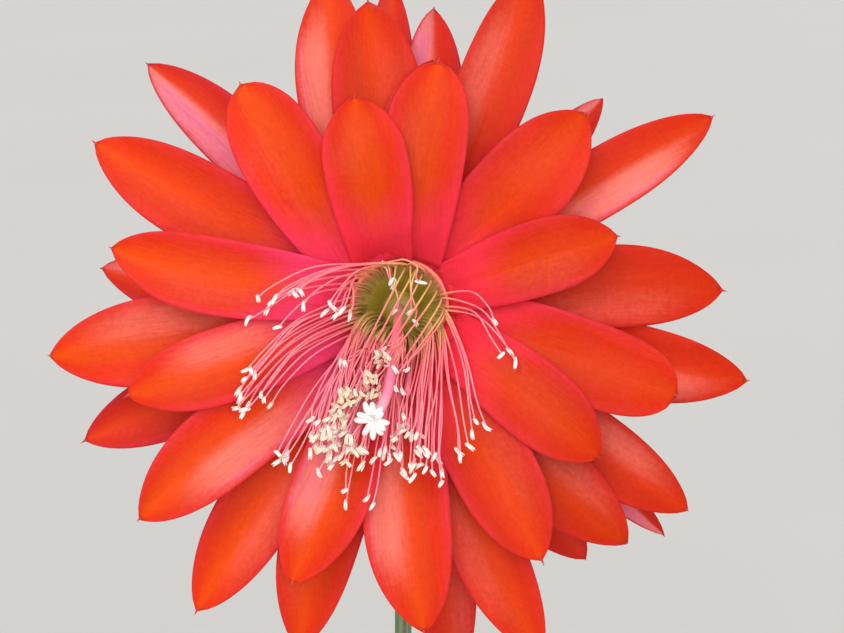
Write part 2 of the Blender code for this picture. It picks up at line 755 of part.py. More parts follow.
def smooth_route(points, count):
    """A smooth curve through the points."""
    points = [Vector(p) for p in points]
    points = [2 * points[0] - points[1]] + points + [2 * points[-1] - points[-2]]
    route = []
    spans = len(points) - 3
    for i in range(count):
        place = i / (count - 1) * spans
        k = min(int(place), spans - 1)
        t = place - k
        a, b, c, d = points[k:k + 4]
        route.append(0.5 * ((2 * b) + (c - a) * t + (2 * a - 5 * b + 4 * c - d) * t * t
                            + (3 * b - a - 3 * c + d) * t * t * t))
    return route


def clear_of_style(point, style):
    """Move a filament's point sideways so that it keeps clear of the style."""
    room = STYLE_RADIUS + FILAMENT_RADIUS + 1.0
    for place in style:
        away = point - place
        if away.length < room:
            side = math.copysign(1.0, away.x)
            point = Vector((place.x + side * room, point.y, point.z))
    return point


def filament_route(group, rng, relief, style):
    """One filament from its root on the ring to its anther, in mm."""
    back, front, thickness = STAMEN_RING
    angle = math.radians(rng.uniform(*group.roots))
    depth = -7.0
    radius = funnel_radius(depth) - FUNNEL_WALL - SEAT_GAP / MM - 0.6 * thickness
    outward = Vector((math.cos(angle), math.sin(angle), 0.0))
    root = outward * radius + Vector((0, 0, depth))
    tip = Vector((group.middle[0] + rng.uniform(-1, 1) * group.spread[0],
                  group.middle[1] + rng.uniform(-1, 1) * group.spread[1],
                  group.forward + rng.uniform(-2.0, 2.0)))
    mouth = outward * (funnel_radius(0) - FUNNEL_WALL - 2.4) + Vector((0, 0, 3.5))
    middle = mouth.lerp(tip, 0.5) + Vector((0, group.bulge, 3.0))
    route = smooth_route((root, mouth, middle, tip), 5)
    cleared = []
    for i, point in enumerate(route):
        if i > 1:
            surface = float(relief.read(np.array(point.x), np.array(point.y)))
            point.z = max(point.z, surface + 1.6)
        cleared.append(clear_of_style(point, style) if i > 1 else point)
    return cleared


def filament_object(route):
    """A three-sided filament that swells into its anther."""
    last = (route[-1] - route[-2]).normalized()
    droop = (last + Vector((0, -0.5, 0))).normalized()
    anther = [route[-1] + droop * ANTHER_LENGTH * s for s in (0.3, 1.0)]
    radii = [FILAMENT_RADIUS] * len(route) + [ANTHER_RADIUS, 0.6]
    rings = tube_points([p * MM for p in route + anther], [r * MM for r in radii], 3, (0.3, 0.2, 1.0))
    return skin("filament", rings)


def make_stamens(axis, relief):
    rng = random.Random(SEED + 1)
    style = smooth_route(STYLE_ROUTE, 60)
    filaments = []
    for group in STAMEN_GROUPS:
        for _ in range(group.count):
            filaments.append(filament_object(filament_route(group, rng, relief, style)))
    stamens = ring_round_funnel("stamens", *STAMEN_RING, inside=True)
    combine(stamens, filaments, "UNION", "MANIFOLD")
    keep_main_body(stamens)
    return finish(stamens, PINK, axis)


def make_style(axis):
    route = smooth_route(STYLE_ROUTE, 16)
    radii = [STYLE_RADIUS * MM] * 14 + [1.5 * MM, 1.7 * MM]
    style = skin("style", tube_points([p * MM for p in route], radii, 8))
    ahead = (route[-1] - route[-2]).normalized()
    across = (Vector((1, 0, 0)) - ahead * ahead.x).normalized()
    side = ahead.cross(across)
    lobes = []
    for k in range(STIGMA_LOBES):
        angle = 2 * math.pi * k / STIGMA_LOBES
        out = across * math.cos(angle) + side * math.sin(angle)
        foot = route[-1] - ahead * 0.8
        points = [foot, foot + out * 1.6 + ahead * 1.5, foot + out * 3.3 + ahead * 1.9,
                  foot + out * STIGMA_RADIUS + ahead * 1.2]
        lobes.append(skin("lobe", tube_points([p * MM for p in points],
                                              [0.7 * MM, 0.75 * MM, 0.65 * MM, 0.35 * MM], 4, ahead)))
    combine(style, lobes, "UNION", "MANIFOLD")
    keep_main_body(style)
    return finish(style, WHITE_PINK, axis)


def main():
    clear_scene()
    make_pot()
    make_soil()
    for name, stem in STEMS.items():
        make_stem(name, stem)
    axis = bloom_axis()
    relief = make_tepals(axis)
    make_bloom_tube(axis)
    make_stamens(axis, relief)
    make_style(axis)


main()
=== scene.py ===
import json
import math
import random
from collections import namedtuple

import bmesh
import bpy
import numpy as np
from mathutils import Matrix, Vector, noise
from mathutils.geometry import interpolate_bezier

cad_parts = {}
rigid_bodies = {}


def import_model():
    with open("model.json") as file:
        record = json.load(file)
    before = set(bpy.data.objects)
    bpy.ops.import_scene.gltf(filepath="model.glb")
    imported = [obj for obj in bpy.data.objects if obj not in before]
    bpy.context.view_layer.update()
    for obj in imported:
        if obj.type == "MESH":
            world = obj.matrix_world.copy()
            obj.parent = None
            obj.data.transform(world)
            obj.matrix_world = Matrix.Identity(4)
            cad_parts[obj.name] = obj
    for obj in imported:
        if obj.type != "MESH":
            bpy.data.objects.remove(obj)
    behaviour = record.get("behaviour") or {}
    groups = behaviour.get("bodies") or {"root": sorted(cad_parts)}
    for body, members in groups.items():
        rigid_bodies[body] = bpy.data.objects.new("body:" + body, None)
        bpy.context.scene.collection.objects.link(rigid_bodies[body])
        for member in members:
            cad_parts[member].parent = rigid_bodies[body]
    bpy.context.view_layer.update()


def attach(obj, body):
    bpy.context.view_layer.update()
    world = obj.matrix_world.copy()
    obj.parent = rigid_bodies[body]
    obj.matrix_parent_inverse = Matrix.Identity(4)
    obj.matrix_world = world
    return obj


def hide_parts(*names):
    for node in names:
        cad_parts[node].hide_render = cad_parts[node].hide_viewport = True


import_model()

# The looks of a potted orchid cactus with one open bloom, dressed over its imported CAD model.
# Units are metres and +Z is up. The bloom's tables are in millimetres in its own frame, which
# has X to the right, Y up and Z forward, out of the throat. The tables repeat the CAD's values.

MM = 0.001
SEED = 11

# Clay pot
POT_HEIGHT = 135 * MM
POT_FOOT_RADIUS = 51 * MM
POT_SHOULDER_RADIUS = 68 * MM
POT_RIM_RADIUS = 76 * MM
POT_RIM_HEIGHT = 27 * MM
POT_WALL = 6 * MM
POT_FLOOR = 8 * MM
POT_SIDES = 160
POT_ROUNDING = 2.2 * MM
RIM_FLARE = 1.4 * MM
RIM_EXTRA = 3 * MM  # how much thicker the wall is at the rim
LEDGE = (0.5 * MM, 1.5 * MM)  # out and up from the wall to the underside of the rim band
DRAIN_RADIUS = 5 * MM
DRAIN_RING_RADIUS = 27 * MM
DRAIN_COUNT = 4

# Potting mix, where ranges from low to high are in millimetres
SEAT_GAP = 0.3 * MM
SOIL_LEVEL = 120 * MM
SOIL_DOME = 5 * MM
SOIL_CRUMB = 1.1 * MM
SOIL_GRIT = 0.3 * MM
SOIL_BEVEL = 2 * MM
SOIL_SIDES = 120
SOIL_RINGS = 52
BARK_CHIPS = 460
BARK_REACH = (2.0, 5.6)  # half the length of a chip
BARK_SLIMNESS = (0.35, 0.75)  # its width as a share of its length
BARK_DEPTH = (0.5, 1.3)  # half its thickness
BARK_LEAN = 0.35
BARK_SIDES = 7
BARK_LEVELS = ((-1.0, 0.8), (-0.8, 0.96), (0.75, 1.0), (1.0, 0.84))  # height, share of the outline
BARK_GRAIN = (120.0, 900.0, 400.0)  # how fine the grain is along, across and through a chip
PERLITE_GRAINS = 150
PERLITE_RADIUS = (0.7, 1.7)
PERLITE_LEAN = 0.8
ROOT_FIBRES = 70
FIBRE_LENGTH = (4, 12)
FIBRE_RADIUS = (0.14, 0.3)

# Flat stems
SHANK_RADIUS = 3.8 * MM
SHANK_LENGTH = 44 * MM
SHANK_IN_SOIL = 30 * MM
SHANK_BOTTOM = SOIL_LEVEL + 0.6 * SOIL_DOME - SHANK_IN_SOIL
WIDENING = 34 * MM
LOBE = 33 * MM
NOTCH_DEPTH = 0.24
MARGIN_THICKNESS = 1.3 * MM
MIDRIB_THICKNESS = 5.0 * MM
STEM_TIP = 16 * MM
STATION_STEP = 1.6 * MM
STEM_ENDS = (2.2, 1.5, 0.9, 0.4, 0.1)  # the last stations, in mm from the tip
STEM_NOTES = ("along", "edge", "vein", "cork")
LOBE_PEAK = 0.42  # where along a lobe it reaches out furthest
MIDRIB_SPREAD = 3.0 * MM
VEIN_HEIGHT = 0.22 * MM
VEIN_SPREAD = 1.5 * MM
WAVE_HEIGHT = 0.9 * MM
WAVE_LENGTH = 21 * MM
CORK_FADE = 58 * MM  # the length over which the cork at the foot gives way to green
CORK_OVERLAP = 6 * MM
AREOLE_SHAPE = ((0.0, 0.9), (0.4, 1.0), (0.8, 0.85), (1.1, 0.5), (1.3, 0.15))  # height, radius in mm
BRISTLE_LENGTH = (1.4, 2.6)  # in mm, like its radii
BRISTLE_RADII = (0.12, 0.09, 0.03)
STEM_COLUMNS = (0, 0.05, 0.1, 0.16, 0.24, 0.34, 0.46, 0.58, 0.7, 0.8, 0.88, 0.94, 0.98, 1.0)

# Bloom
BLOOM_CENTRE = Vector((0.0, -100 * MM, 335 * MM))
BLOOM_TILT = math.radians(12)
BLOOM_NOTCH = 6  # the notch of stem_1 that the bloom grows from
VIEW_DISTANCE = 800.0  # the photo's view, in the bloom's frame in mm
VIEW_WIDTH = 211.0
VIEW_MIDDLE = (5.5, -2.1)
SENSOR_WIDTH = 36.0

# The cushion on the stem that the tube grows from: depth below its top and radius, in mm
CUSHION = ((6.0, 4.3), (4.0, 4.0), (2.0, 3.8), (1.0, 3.7), (0.3, 3.4), (0.0, 2.6))
CUSHION_LENGTH = 5.0 * MM
CUSHION_RISE = math.radians(26)

# Throat and tube, in mm: depth behind the rim or share of the tube's length, outer radius
FUNNEL = ((-38.0, 4.6), (-30.0, 5.0), (-24.0, 5.8), (-14.0, 8.4), (-6.0, 11.0), (0.0, 12.6))
FUNNEL_WALL = 1.1
FUNNEL_FLOOR = -24.0
FUNNEL_RIBS = 52
LIP_HEIGHT = 0.6
TUBE_SIDES = 156
TUBE = ((0.0, 3.4), (0.07, 3.9), (0.18, 5.4), (0.30, 5.4), (0.45, 4.3), (0.7, 4.2), (1.0, FUNNEL[0][1]))
TUBE_RIDGES = 8
TUBE_SHARE = 0.8  # where along the colours of tube and funnel the tube ends
BRACT_THICKNESS = 0.44
BRACT_ROWS = 12
BRACT_COLUMNS = 9

# Foot in the soil in mm, heading of its lean in degrees from +X, final lean from upright,
# length over which it bends in mm, lobes along a margin, full width in mm, heading of its width,
# and how far that heading turns on the way to the tip
Stem = namedtuple("Stem", "foot heading lean arch lobes width face twist")
STEMS = {
    "stem_1": Stem((0, 13), 90, 4, 200, 6.6, 46, -90, 0),
    "stem_2": Stem((-33, 27), 150, 158, 168, 6.2, 44, 60, 8),
    "stem_3": Stem((34, 24), 28, 152, 152, 5.2, 43, -62, -8),
    "stem_4": Stem((-42, -8), 191, 160, 200, 7.6, 42, 101, 6),
    "stem_5": Stem((42, -14), -12, 150, 188, 6.4, 44, 78, -8),
    "stem_6": Stem((4, 50), 92, 150, 145, 4.8, 42, 182, 5),
    "stem_7": Stem((-12, -42), -112, 142, 142, 4.2, 36, -22, -6),
}

# Tepals: tip to the right and up of the throat's middle in mm, angle of the root on the ring
# in degrees, full width in mm, how strong the painted highlight on one half is (above zero for
# the half that lies anticlockwise, and painted lilac sheen past one), how far it bends aside in mm
# (above zero for anticlockwise) and how blunt the end is. Each list runs from the back to the front.
Tepal = namedtuple("Tepal", "tip root width pale bend blunt", defaults=(0.0, 0.0, 0.0))
SEPALS = [Tepal(*row) for row in (
    ((13.8, -93.0), -80, 17, 0.3, 0.5),
    ((-2.5, 82.0), 95, 12, 0.2),
    ((8.3, 74.8), 76, 16, 1.4, -2.2),
    ((65.8, -56.5), -38, 10, -1.6),
    ((46.2, -62.6), -56, 17, 0.1, -2.6),
    ((50.5, 52.3), 50, 12, 1.3),
    ((-78.8, -33.0), 203, 18.5, 0.1, 0.2),
    ((-74.5, 10.0), 170, 16, -0.9, 2.0),
    ((-63.0, 61.0), 136, 16.5, 1.4, -2.0),
)]
MIDDLE_PETALS = [Tepal(*row) for row in (
    ((33.0, 84.5), 63, 19, 0.5, -2.4),
    ((-18.0, 82.5), 117, 20, 1.0, 3.2),
    ((35.0, -86.8), -68, 18.5, -0.3, -2.2),
    ((-25.5, -85.0), -105, 20, -0.2, -3.4),
    ((78.0, 47.8), 37, 17, -1.1),
    ((-8.0, 76.5), 94, 23, -0.15),
    ((-50.8, -75.6), -126, 20, 0.4, -0.9),
    ((71.8, -50.5), -34, 18.5, 0.6, -0.2),
    ((56.8, -58.8), -49, 20, 0.4, -1.2),
    ((86.6, -18.2), -10, 19, -0.8, -1.8),
    ((80.5, 4.5), 8, 21, -0.3, 2.2),
    ((-87.5, -12.0), 188, 23, -0.6, -0.6),
    ((-76.2, 41.2), 151, 21, 0.1, 1.1),
    ((8.5, 62.0), 87, 20, 0.7),
)]
INNER_PETALS = [Tepal(*row) for row in (
    ((6.0, -81.0), -85, 22, -0.9, -1.8),
    ((46.5, 48.6), 48, 23, 0.1, -1.2),
    ((69.3, -21.8), -4, 21, 0.0, 0.0, 1.0),
    ((-65.0, -52.8), -141, 21, 1.0, -2.3),
    ((-39.8, 55.8), 138, 22, 0.15, 0.0, 0.6),
    ((-27.0, -68.8), -113, 20.5, -1.2),
    ((35.5, -63.0), -55, 21, 0.2),
    ((-68.0, -21.8), -167, 19, -0.7, -0.5),
    ((9.5, 61.5), 73, 21, 0.15, 0.0, 0.5),
    ((54.3, 18.0), 22, 19, -0.2),
    ((50.0, -37.3), -29, 20, 0.1),
    ((-72.0, 14.9), 166, 19.5, 0.2, 2.6),
    ((-11.3, 52.8), 112, 21.5, 0.1, 0.8),
)]

# How a kind of tepal runs forward, in mm: root radius and depth, rise, fall at the tip,
# rim channel as a share of the half width, width of the root as a share of the full width,
# how deep the colour is, and where along a tepal the painted highlight on its pale half ends
Habit = namedtuple("Habit", "root_radius root_depth rise fall channel foot deep pale_end")
SEPAL_HABIT = Habit(10.9, -10.8, 8.0, 15.0, 0.20, 0.47, 0.5, 1.15)
MIDDLE_HABIT = Habit(13.2, -3.8, 10.8, 9.0, 0.14, 0.5, 0.55, 1.0)
INNER_HABIT = Habit(12.7, -0.5, 16.5, 5.0, 0.18, 0.66, 0.16, 0.92)
CLEARANCE = 1.3  # from a tepal to what lies behind it, in mm
SEPAL_TO_PETAL = 1.9  # the same, between the sepals and the petals
WIDEST = 0.57  # the place along a tepal where it is widest
BLADE_EDGE = 0.26  # thickness at the edge in mm, and what the middle of the root adds
BLADE_ROOT = 0.5
ROOT_CURVE = 0.14  # the share of a tepal's length in which its root bends round the throat
LIT_BASE_BEARING = 212  # the tepals' bases get painted light, a brighter pink, toward this side, in degrees
TEPAL_NOTES = ("rosy", "along", "across", "pale", "deep", "back", "flow")

# Colours of the band, body, margin, throat side, back, painted highlight on the pale half, and deep parts,
# which are partly painted shade
PETAL_COLOURS = ((232, 68, 2), (222, 46, 10), (230, 44, 68), (244, 50, 70), (206, 52, 50), (252, 126, 112),
                 (192, 34, 6))
SEPAL_COLOURS = ((222, 58, 22), (206, 38, 26), (196, 44, 80), (206, 44, 60), (168, 42, 46), (240, 124, 124),
                 (186, 30, 22))

# Rings that the tepals grow from, in mm: back, front, thickness
SEPAL_RING = (-13.0, -8.6, 1.9)
PETAL_RING = (-5.5, -1.2, 2.4)

# Rows and columns where a tepal is pushed forward, and of its dense surface and its mesh
LIFT_ROWS = (0.0, 0.14, 0.34, 0.56, 0.78, 0.93, 1.0)
LIFT_COLUMNS = (-1.0, -0.5, 0.0, 0.5, 1.0)
LIFT_ROUNDS = 7
DENSE_ROWS = 221
DENSE_COLUMNS = 61
ROW_STRIDE = 5
COLUMN_STRIDE = 3
RING_STEPS = 20  # points round a ring's own section, and round the throat
RING_SIDES = 96
POINT_SHAPE = ((0.0, 0.42), (0.3, 0.36), (0.6, 0.22), (0.85, 0.12), (1.0, 0.05))  # place, radius in mm

# Stamens, seen from the front. The anthers of a spray stand at its tips, in mm to the right
# and up of the throat's middle. Its filaments leave the throat at a bearing in degrees, give
# or take the fan, and as far inside the rim as the lip says. They arch up by the bulge in mm,
# their anthers stand so many mm forward, and the last number says how cream the pollen is.
Spray = namedtuple("Spray", "tips bearing fan lip bulge forward cream")
SPRAYS = (
    Spray(((-26.2, 4.2), (-24.5, 4.0), (-34.5, 2.5), (-30.3, 2.5), (-32.3, -0.3), (-36.5, -2.8),
           (-23.3, 0.8), (-29.4, -4.8), (-25.5, 3.4), (-31.0, 1.5)), 114, 38, (0.2, 1.6), 3.4, 19, 0.1),
    Spray(((-17.0, 1.3), (-18.0, -1.0), (-16.3, 0.0), (-13.8, -0.5), (-12.3, -1.5), (-15.5, -1.8)),
          130, 26, (0.2, 2.0), 3.4, 17, 0.1),
    Spray(((-37.0, -14.8), (-35.2, -16.0), (-37.5, -17.5), (-38.8, -21.3), (-39.5, -24.3), (-36.8, -23.5),
           (-38.0, -25.8), (-33.0, -22.3), (-31.3, -23.5), (-33.5, -20.8), (-38.3, -22.5), (-36.0, -15.3),
           (-37.3, -24.8), (-39.0, -20.0)), 188, 20, (0.2, 1.6), 4.6, 21, 0.1),
    Spray(((-13.8, -14.3), (-13.2, -13.6), (-14.2, -13.2)), 240, 14, (3.0, 9.0), 1, 20, 0.1),
    Spray(((-27.5, -35.0), (-29.5, -37.5), (-28.0, -36.8), (-26.5, -38.5), (-29.8, -35.5), (-27.3, -36.0)),
          218, 9, (0.2, 2.0), 2, 22, 0.1),
    Spray(((23.0, -3.0), (25.0, -11.3), (26.8, -10.5), (28.3, -13.0)), 8, 12, (0.2, 1.2), 4.2, 18, 0.1),
    Spray(((14.3, -34.8), (16.8, -33.5), (17.8, -30.5), (18.5, -27.5), (21.0, -28.5), (14.8, -36.0)),
          344, 14, (0.2, 2.0), 3, 21, 0.1),
    Spray(((1.0, -26.3), (2.0, -28.5), (-0.5, -35.0), (0.8, -39.8), (3.3, -37.5), (3.5, -41.0),
           (6.3, -39.0), (8.0, -40.0), (9.3, -36.8), (10.3, -42.5), (10.5, -39.8), (1.0, -40.5),
           (2.5, -38.5), (8.5, -36.0)),
          300, 34, (0.4, 7.0), 1, 23, 0.15),
    Spray(((-13.0, -44.3), (-13.0, -47.5), (-7.8, -46.0), (-6.0, -36.8), (-6.5, -48.0), (-9.0, -38.5)),
          252, 22, (0.4, 8.0), 1, 24, 0.2),
    Spray(((-21.3, -26.8), (-19.6, -27.5), (-21.3, -30.5), (-21.7, -35.0), (-19.2, -33.8), (-17.3, -29.3),
           (-16.7, -27.2), (-16.7, -35.0), (-15.0, -36.3), (-13.3, -37.2), (-12.5, -37.6), (-16.3, -38.4),
           (-19.6, -39.7), (-9.0, -38.0), (-4.6, -34.7)), 228, 26, (0.4, 7.0), 1.5, 24, 0.4),
    Spray(((-2.8, -13.5), (-1.3, -14.8), (2.0, -14.8), (0.8, -20.0)), 276, 24, (1.0, 6.0), 1, 22, 0.1),
    Spray(((-2.3, -19.3),), 352, 0, (0.4, 1.0), 1, 26, 0.1),
    Spray(((-3.1, 11.4),), 58, 0, (1.0, 2.0), 1.6, 5, 0.1),
    Spray(((4.8, 6.5),), 78, 0, (0.6, 1.2), 0.8, 5, 0.1),
    Spray(((-1.5, 6.3), (-1.9, 6.8), (-1.0, -0.8), (2.8, -0.8), (3.5, -3.5)), 92, -26, (0.4, 1.6), 1, 6, 0.1),
)

# Crowded anthers: middle and spread of each crowd in mm, how many, and the rest as in a spray
Crowd = namedtuple("Crowd", "middle spread count bearing fan lip bulge forward cream")
CROWDS = (
    Crowd((-15.5, -32.0), (5.8, 5.4), 34, 222, 30, (0.5, 11.0), 1.5, 24, 0.6),
    Crowd((-5.0, -11.8), (2.2, 2.2), 8, 258, 20, (2.0, 7.0), 1, 21, 0.8),
    Crowd((-7.3, -19.5), (2.6, 3.8), 20, 248, 28, (1.0, 8.0), 1, 24, 0.9),
    Crowd((-13.0, -23.5), (3.2, 4.4), 26, 226, 30, (1.0, 9.0), 1, 25, 0.9),
    Crowd((-12.5, -30.5), (6.5, 6.0), 36, 236, 36, (1.0, 10.0), 1, 25, 0.6),
    Crowd((1.0, -34.0), (6.5, 6.0), 26, 294, 40, (1.0, 10.0), 1, 23, 0.3),
    Crowd((-11.0, -26.0), (8.0, 8.0), 7, 40, -46, (1.0, 4.0), 0.5, 25, 0.5),
)
FILAMENT_RADIUS = 0.29
FILAMENT_SIDES = 7
FILAMENT_STEPS = 27
FILAMENT_ROOM = 1.3  # kept clear between a filament's middle and the petals behind it
STYLE_ROOM = 0.3  # kept clear between a filament and the style
TONE_PAST_RIM = ((0, 16), (0, 0.6))  # mm along a filament past the rim, and how pink it is there
TONE_FROM_AXIS = ((5, 9, 12.5, 15, 24), (0.1, 0.24, 0.37, 0.54, 0.7))
TONE_TO_TIP = ((-6, 0), (0, 1))
TONE_FORWARD = ((3.5, 9.5), (0.08, 0.5))
AT_RIM = 10  # the point of a filament's route that passes the throat's rim
ANTHER_LENGTH = 2.9
ANTHER_VARIES = (0.72, 1.15)  # the shortest and the longest as shares of that length
ANTHER_LOBE_RADIUS = 0.31
ANTHER_SIDES = 7
ANTHER_HOLD = 0.36  # the place along an anther where its filament holds it
ANTHER_SHAPE = ((0.0, 0.12), (0.05, 0.52), (0.17, 0.86), (0.36, 1.0), (0.58, 0.98), (0.79, 0.8),
                (0.94, 0.48), (1.0, 0.12))  # place along it, share of the full radius
ASLANT = (0.3, 0.2, 1.0)  # an across direction that no thin piece runs along
STYLE_RADIUS = 1.2
STYLE_ROUTE = ((0, 0, -27.7), (0, 0, -8), (-0.4, -3, 6), (-1.5, -12, 17), (-3.0, -21, 24), (-6.0, -27, 28))
STIGMA_CENTRE = (-7.0, -27.6)  # seen from the front, for keeping anthers clear of it
CURTAIN_END = -14.5  # below this height the filaments hang beside the style and not before it
STIGMA_LOBES = 11
STIGMA_RADIUS = 5.3
STIGMA_FACING = (-0.48, -0.22, 0.85)
STIGMA_RISE = 4.6  # how far a stigma lobe sets out forward, and how far it curls back
STIGMA_CURL = (2.6, 4.8)

# Scales on the tube: place along it, angle round it, length and width in mm
BRACTS = (
    (0.06, 20, 3.5, 3.0), (0.10, 80, 4, 3.5), (0.14, 150, 4, 3.5), (0.18, 215, 5, 3.5),
    (0.21, 275, 5, 3.5), (0.25, 330, 6, 4), (0.29, 50, 6.5, 4), (0.33, 130, 7, 4),
    (0.37, 195, 8, 4), (0.41, 260, 9, 4), (0.45, 320, 9.5, 4.2), (0.49, 20, 10, 4.5),
    (0.53, 95, 11, 4.5), (0.57, 170, 12, 4.5), (0.61, 235, 13, 4.8), (0.65, 300, 14, 5),
)

# Soft lights, each as from a large window: name, direction of its source, spread in degrees, strength
LIGHTS = (
    ("key", (-0.42, -0.85, 0.85), 34, 1.3),
    ("front", (0.05, -1.0, 0.26), 36, 1.35),
    ("back", (0.55, 0.9, 0.6), 40, 0.5),
)
SKY_COLOUR = (1.0, 0.99, 0.98, 1.0)
SKY_STRENGTH = 0.6
FLOOR_SIZE = 40.0
FLOOR_MIDDLE = (0, 12.0, 0)


# Plain helpers

def rgb(colour):
    """A colour as it looks on a screen, from 0 to 255, as the linear values that nodes take."""
    shares = [part / 255 for part in colour]
    return tuple(s / 12.92 if s <= 0.04045 else ((s + 0.055) / 1.055) ** 2.4 for s in shares)


def unit(vector):
    return vector / np.linalg.norm(vector)


def turns(sides):
    """Evenly spaced angles round a full circle."""
    return 2 * math.pi * np.arange(sides) / sides


def smooth_step(value):
    value = np.clip(value, 0.0, 1.0)
    return value * value * (3.0 - 2.0 * value)


BLOOM_TURN = np.array(Matrix.Rotation(math.pi / 2 - BLOOM_TILT, 3, "X"))


def to_world(points):
    """Points in mm in the bloom's frame, as points in metres in the scene."""
    return np.asarray(points) * MM @ BLOOM_TURN.T + np.array(BLOOM_CENTRE)


def to_bloom(point):
    """A scene point in metres, as a point in mm in the bloom's frame."""
    return (np.array(point) - np.array(BLOOM_CENTRE)) @ BLOOM_TURN / MM


class Bundle:
    """Points, faces and per-point notes of many bodies that make one piece."""

    def __init__(self, *notes):
        self.points, self.faces, self.count = [], [], 0
        self.notes = {note: [] for note in notes}

    def add(self, points, faces, **given):
        """Add a body. A note that isn't given is zero all over it."""
        points = np.asarray(points, float).reshape(-1, 3)
        self.faces.extend(tuple(i + self.count for i in face) for face in faces)
        self.points.append(points)
        self.count += len(points)
        for name, parts in self.notes.items():
            values = np.asarray(given.get(name, 0.0), np.float32)
            parts.append(values if values.ndim else np.full(len(points), values))

    def piece(self, name, look, slot, node=None):
        """One smooth mesh piece that rides on the plant, with its faces pointing out."""
        mesh = bpy.data.meshes.new(name)
        mesh.from_pydata(np.concatenate(self.points).tolist(), [], self.faces)
        for note, parts in self.notes.items():
            values = np.concatenate(parts)
            kind, part = ("FLOAT", "value") if values.ndim == 1 else ("FLOAT_VECTOR", "vector")
            mesh.attributes.new(note, kind, "POINT").data.foreach_set(part, values.ravel())
        shape = bmesh.new()
        shape.from_mesh(mesh)
        bmesh.ops.recalc_face_normals(shape, faces=shape.faces)
        shape.to_mesh(mesh)
        shape.free()
        mesh.shade_smooth()
        return adopt(linked(name, mesh), look, node)


def linked(name, data):
    """A new object of the scene that shows a mesh, a light or a camera."""
    made = bpy.data.objects.new(name, data)
    bpy.context.scene.collection.objects.link(made)
    return made


def adopt(made, look, node=None):
    """Let a piece ride on the plant's one body, with its material and the node it replaces."""
    made.data.materials.clear()
    made.data.materials.append(look)
    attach(made, "root")
    if node:
        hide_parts(node)
    return made


def sweep(route, radii, sides, across=(1.0, 0.0, 0.0)):
    """Rings of points round a route, kept from twisting from one ring to the next."""
    route = np.asarray(route, float)
    radii = np.broadcast_to(radii, len(route))
    ahead = np.gradient(route, axis=0)
    ahead /= np.linalg.norm(ahead, axis=1, keepdims=True)
    cosines, sines = np.cos(turns(sides)), np.sin(turns(sides))
    across = np.array(across, float)
    rings = []
    for centre, direction, radius in zip(route, ahead, radii):
        across = unit(across - direction * across.dot(direction))
        side = np.cross(direction, across)
        rings.append(centre + radius * (np.outer(cosines, across) + np.outer(sines, side)))
    return np.array(rings)


def ring_faces(rings, sides, looped):
    """Faces of a closed body over rings of points. Its two ends are capped or join each other."""
    faces = []
    for i in range(rings if looped else rings - 1):
        j = (i + 1) % rings
        for k in range(sides):
            n = (k + 1) % sides
            faces.append((i * sides + k, i * sides + n, j * sides + n, j * sides + k))
    if looped:
        return faces
    return [tuple(reversed(range(sides))), *faces, tuple(range((rings - 1) * sides, rings * sides))]


def add_rings(bundle, rings, placed=np.asarray, looped=False, **notes):
    """Add a closed body over rings. A note may have one value for each ring."""
    count, sides = rings.shape[:2]
    spread = {name: np.repeat(v, sides) if np.shape(v) == (count,) else v for name, v in notes.items()}
    bundle.add(placed(rings.reshape(-1, 3)), ring_faces(count, sides, looped), **spread)


def blade(grid, thickness):
    """Points and faces of a thin closed body over a grid of middle points, front side first."""
    rows, columns = grid.shape[:2]
    normal = np.cross(np.gradient(grid, axis=0), np.gradient(grid, axis=1))
    normal /= np.linalg.norm(normal, axis=2, keepdims=True)
    half = normal * np.broadcast_to(thickness, (rows, columns))[..., None] / 2
    places = np.arange(rows * columns).reshape(rows, columns)
    shift = rows * columns
    faces = []
    for start, way in ((0, 1), (shift, -1)):
        for a in (places[:-1, :-1].ravel() + start).tolist():
            faces.append((a, a + columns, a + columns + 1, a + 1)[::way])
    rim = np.concatenate([places[0], places[1:, -1], places[-1, -2::-1], places[-2:0:-1, 0]]).tolist()
    faces += [(here, there, there + shift, here + shift) for here, there in zip(rim, rim[1:] + rim[:1])]
    return np.concatenate([(grid + half).reshape(-1, 3), (grid - half).reshape(-1, 3)]), faces


def turned(name, profile, sides):
    """A body of revolution round Z from a profile of (radius, height) that ends on the axis."""
    shape = bmesh.new()
    points = [shape.verts.new((r, 0.0, z)) for r, z in profile]
    edges = [shape.edges.new(pair) for pair in zip(points, points[1:])]
    bmesh.ops.spin(shape, geom=points + edges, axis=(0, 0, 1), cent=(0, 0, 0),
                   angle=2 * math.pi, steps=sides, use_merge=True)
    bmesh.ops.remove_doubles(shape, verts=shape.verts, dist=0.00001)
    bmesh.ops.recalc_face_normals(shape, faces=shape.faces)
    mesh = bpy.data.meshes.new(name)
    shape.to_mesh(mesh)
    shape.free()
    return linked(name, mesh)


def bore(made, holes):
    """Cut upright round holes, each given as its middle, radius and height."""
    group = bpy.data.collections.new(made.name + " holes")
    for middle, radius, height in holes:
        bpy.ops.mesh.primitive_cylinder_add(vertices=32, radius=radius, depth=height, location=middle)
        cutter = bpy.context.object
        bpy.context.scene.collection.objects.unlink(cutter)
        group.objects.link(cutter)
    cut = made.modifiers.new("holes", "BOOLEAN")
    cut.operation = "DIFFERENCE"
    cut.operand_type = "COLLECTION"
    cut.collection = group
    cut.solver = "EXACT"
    state = bpy.context.evaluated_depsgraph_get()
    result = bpy.data.meshes.new_from_object(made.evaluated_get(state), depsgraph=state)
    made.modifiers.clear()
    made.data = result
    for cutter in list(group.objects):
        bpy.data.objects.remove(cutter, do_unlink=True)
    bpy.data.collections.remove(group)


# Materials. Their lengths are in metres and their colours are as seen on a screen.

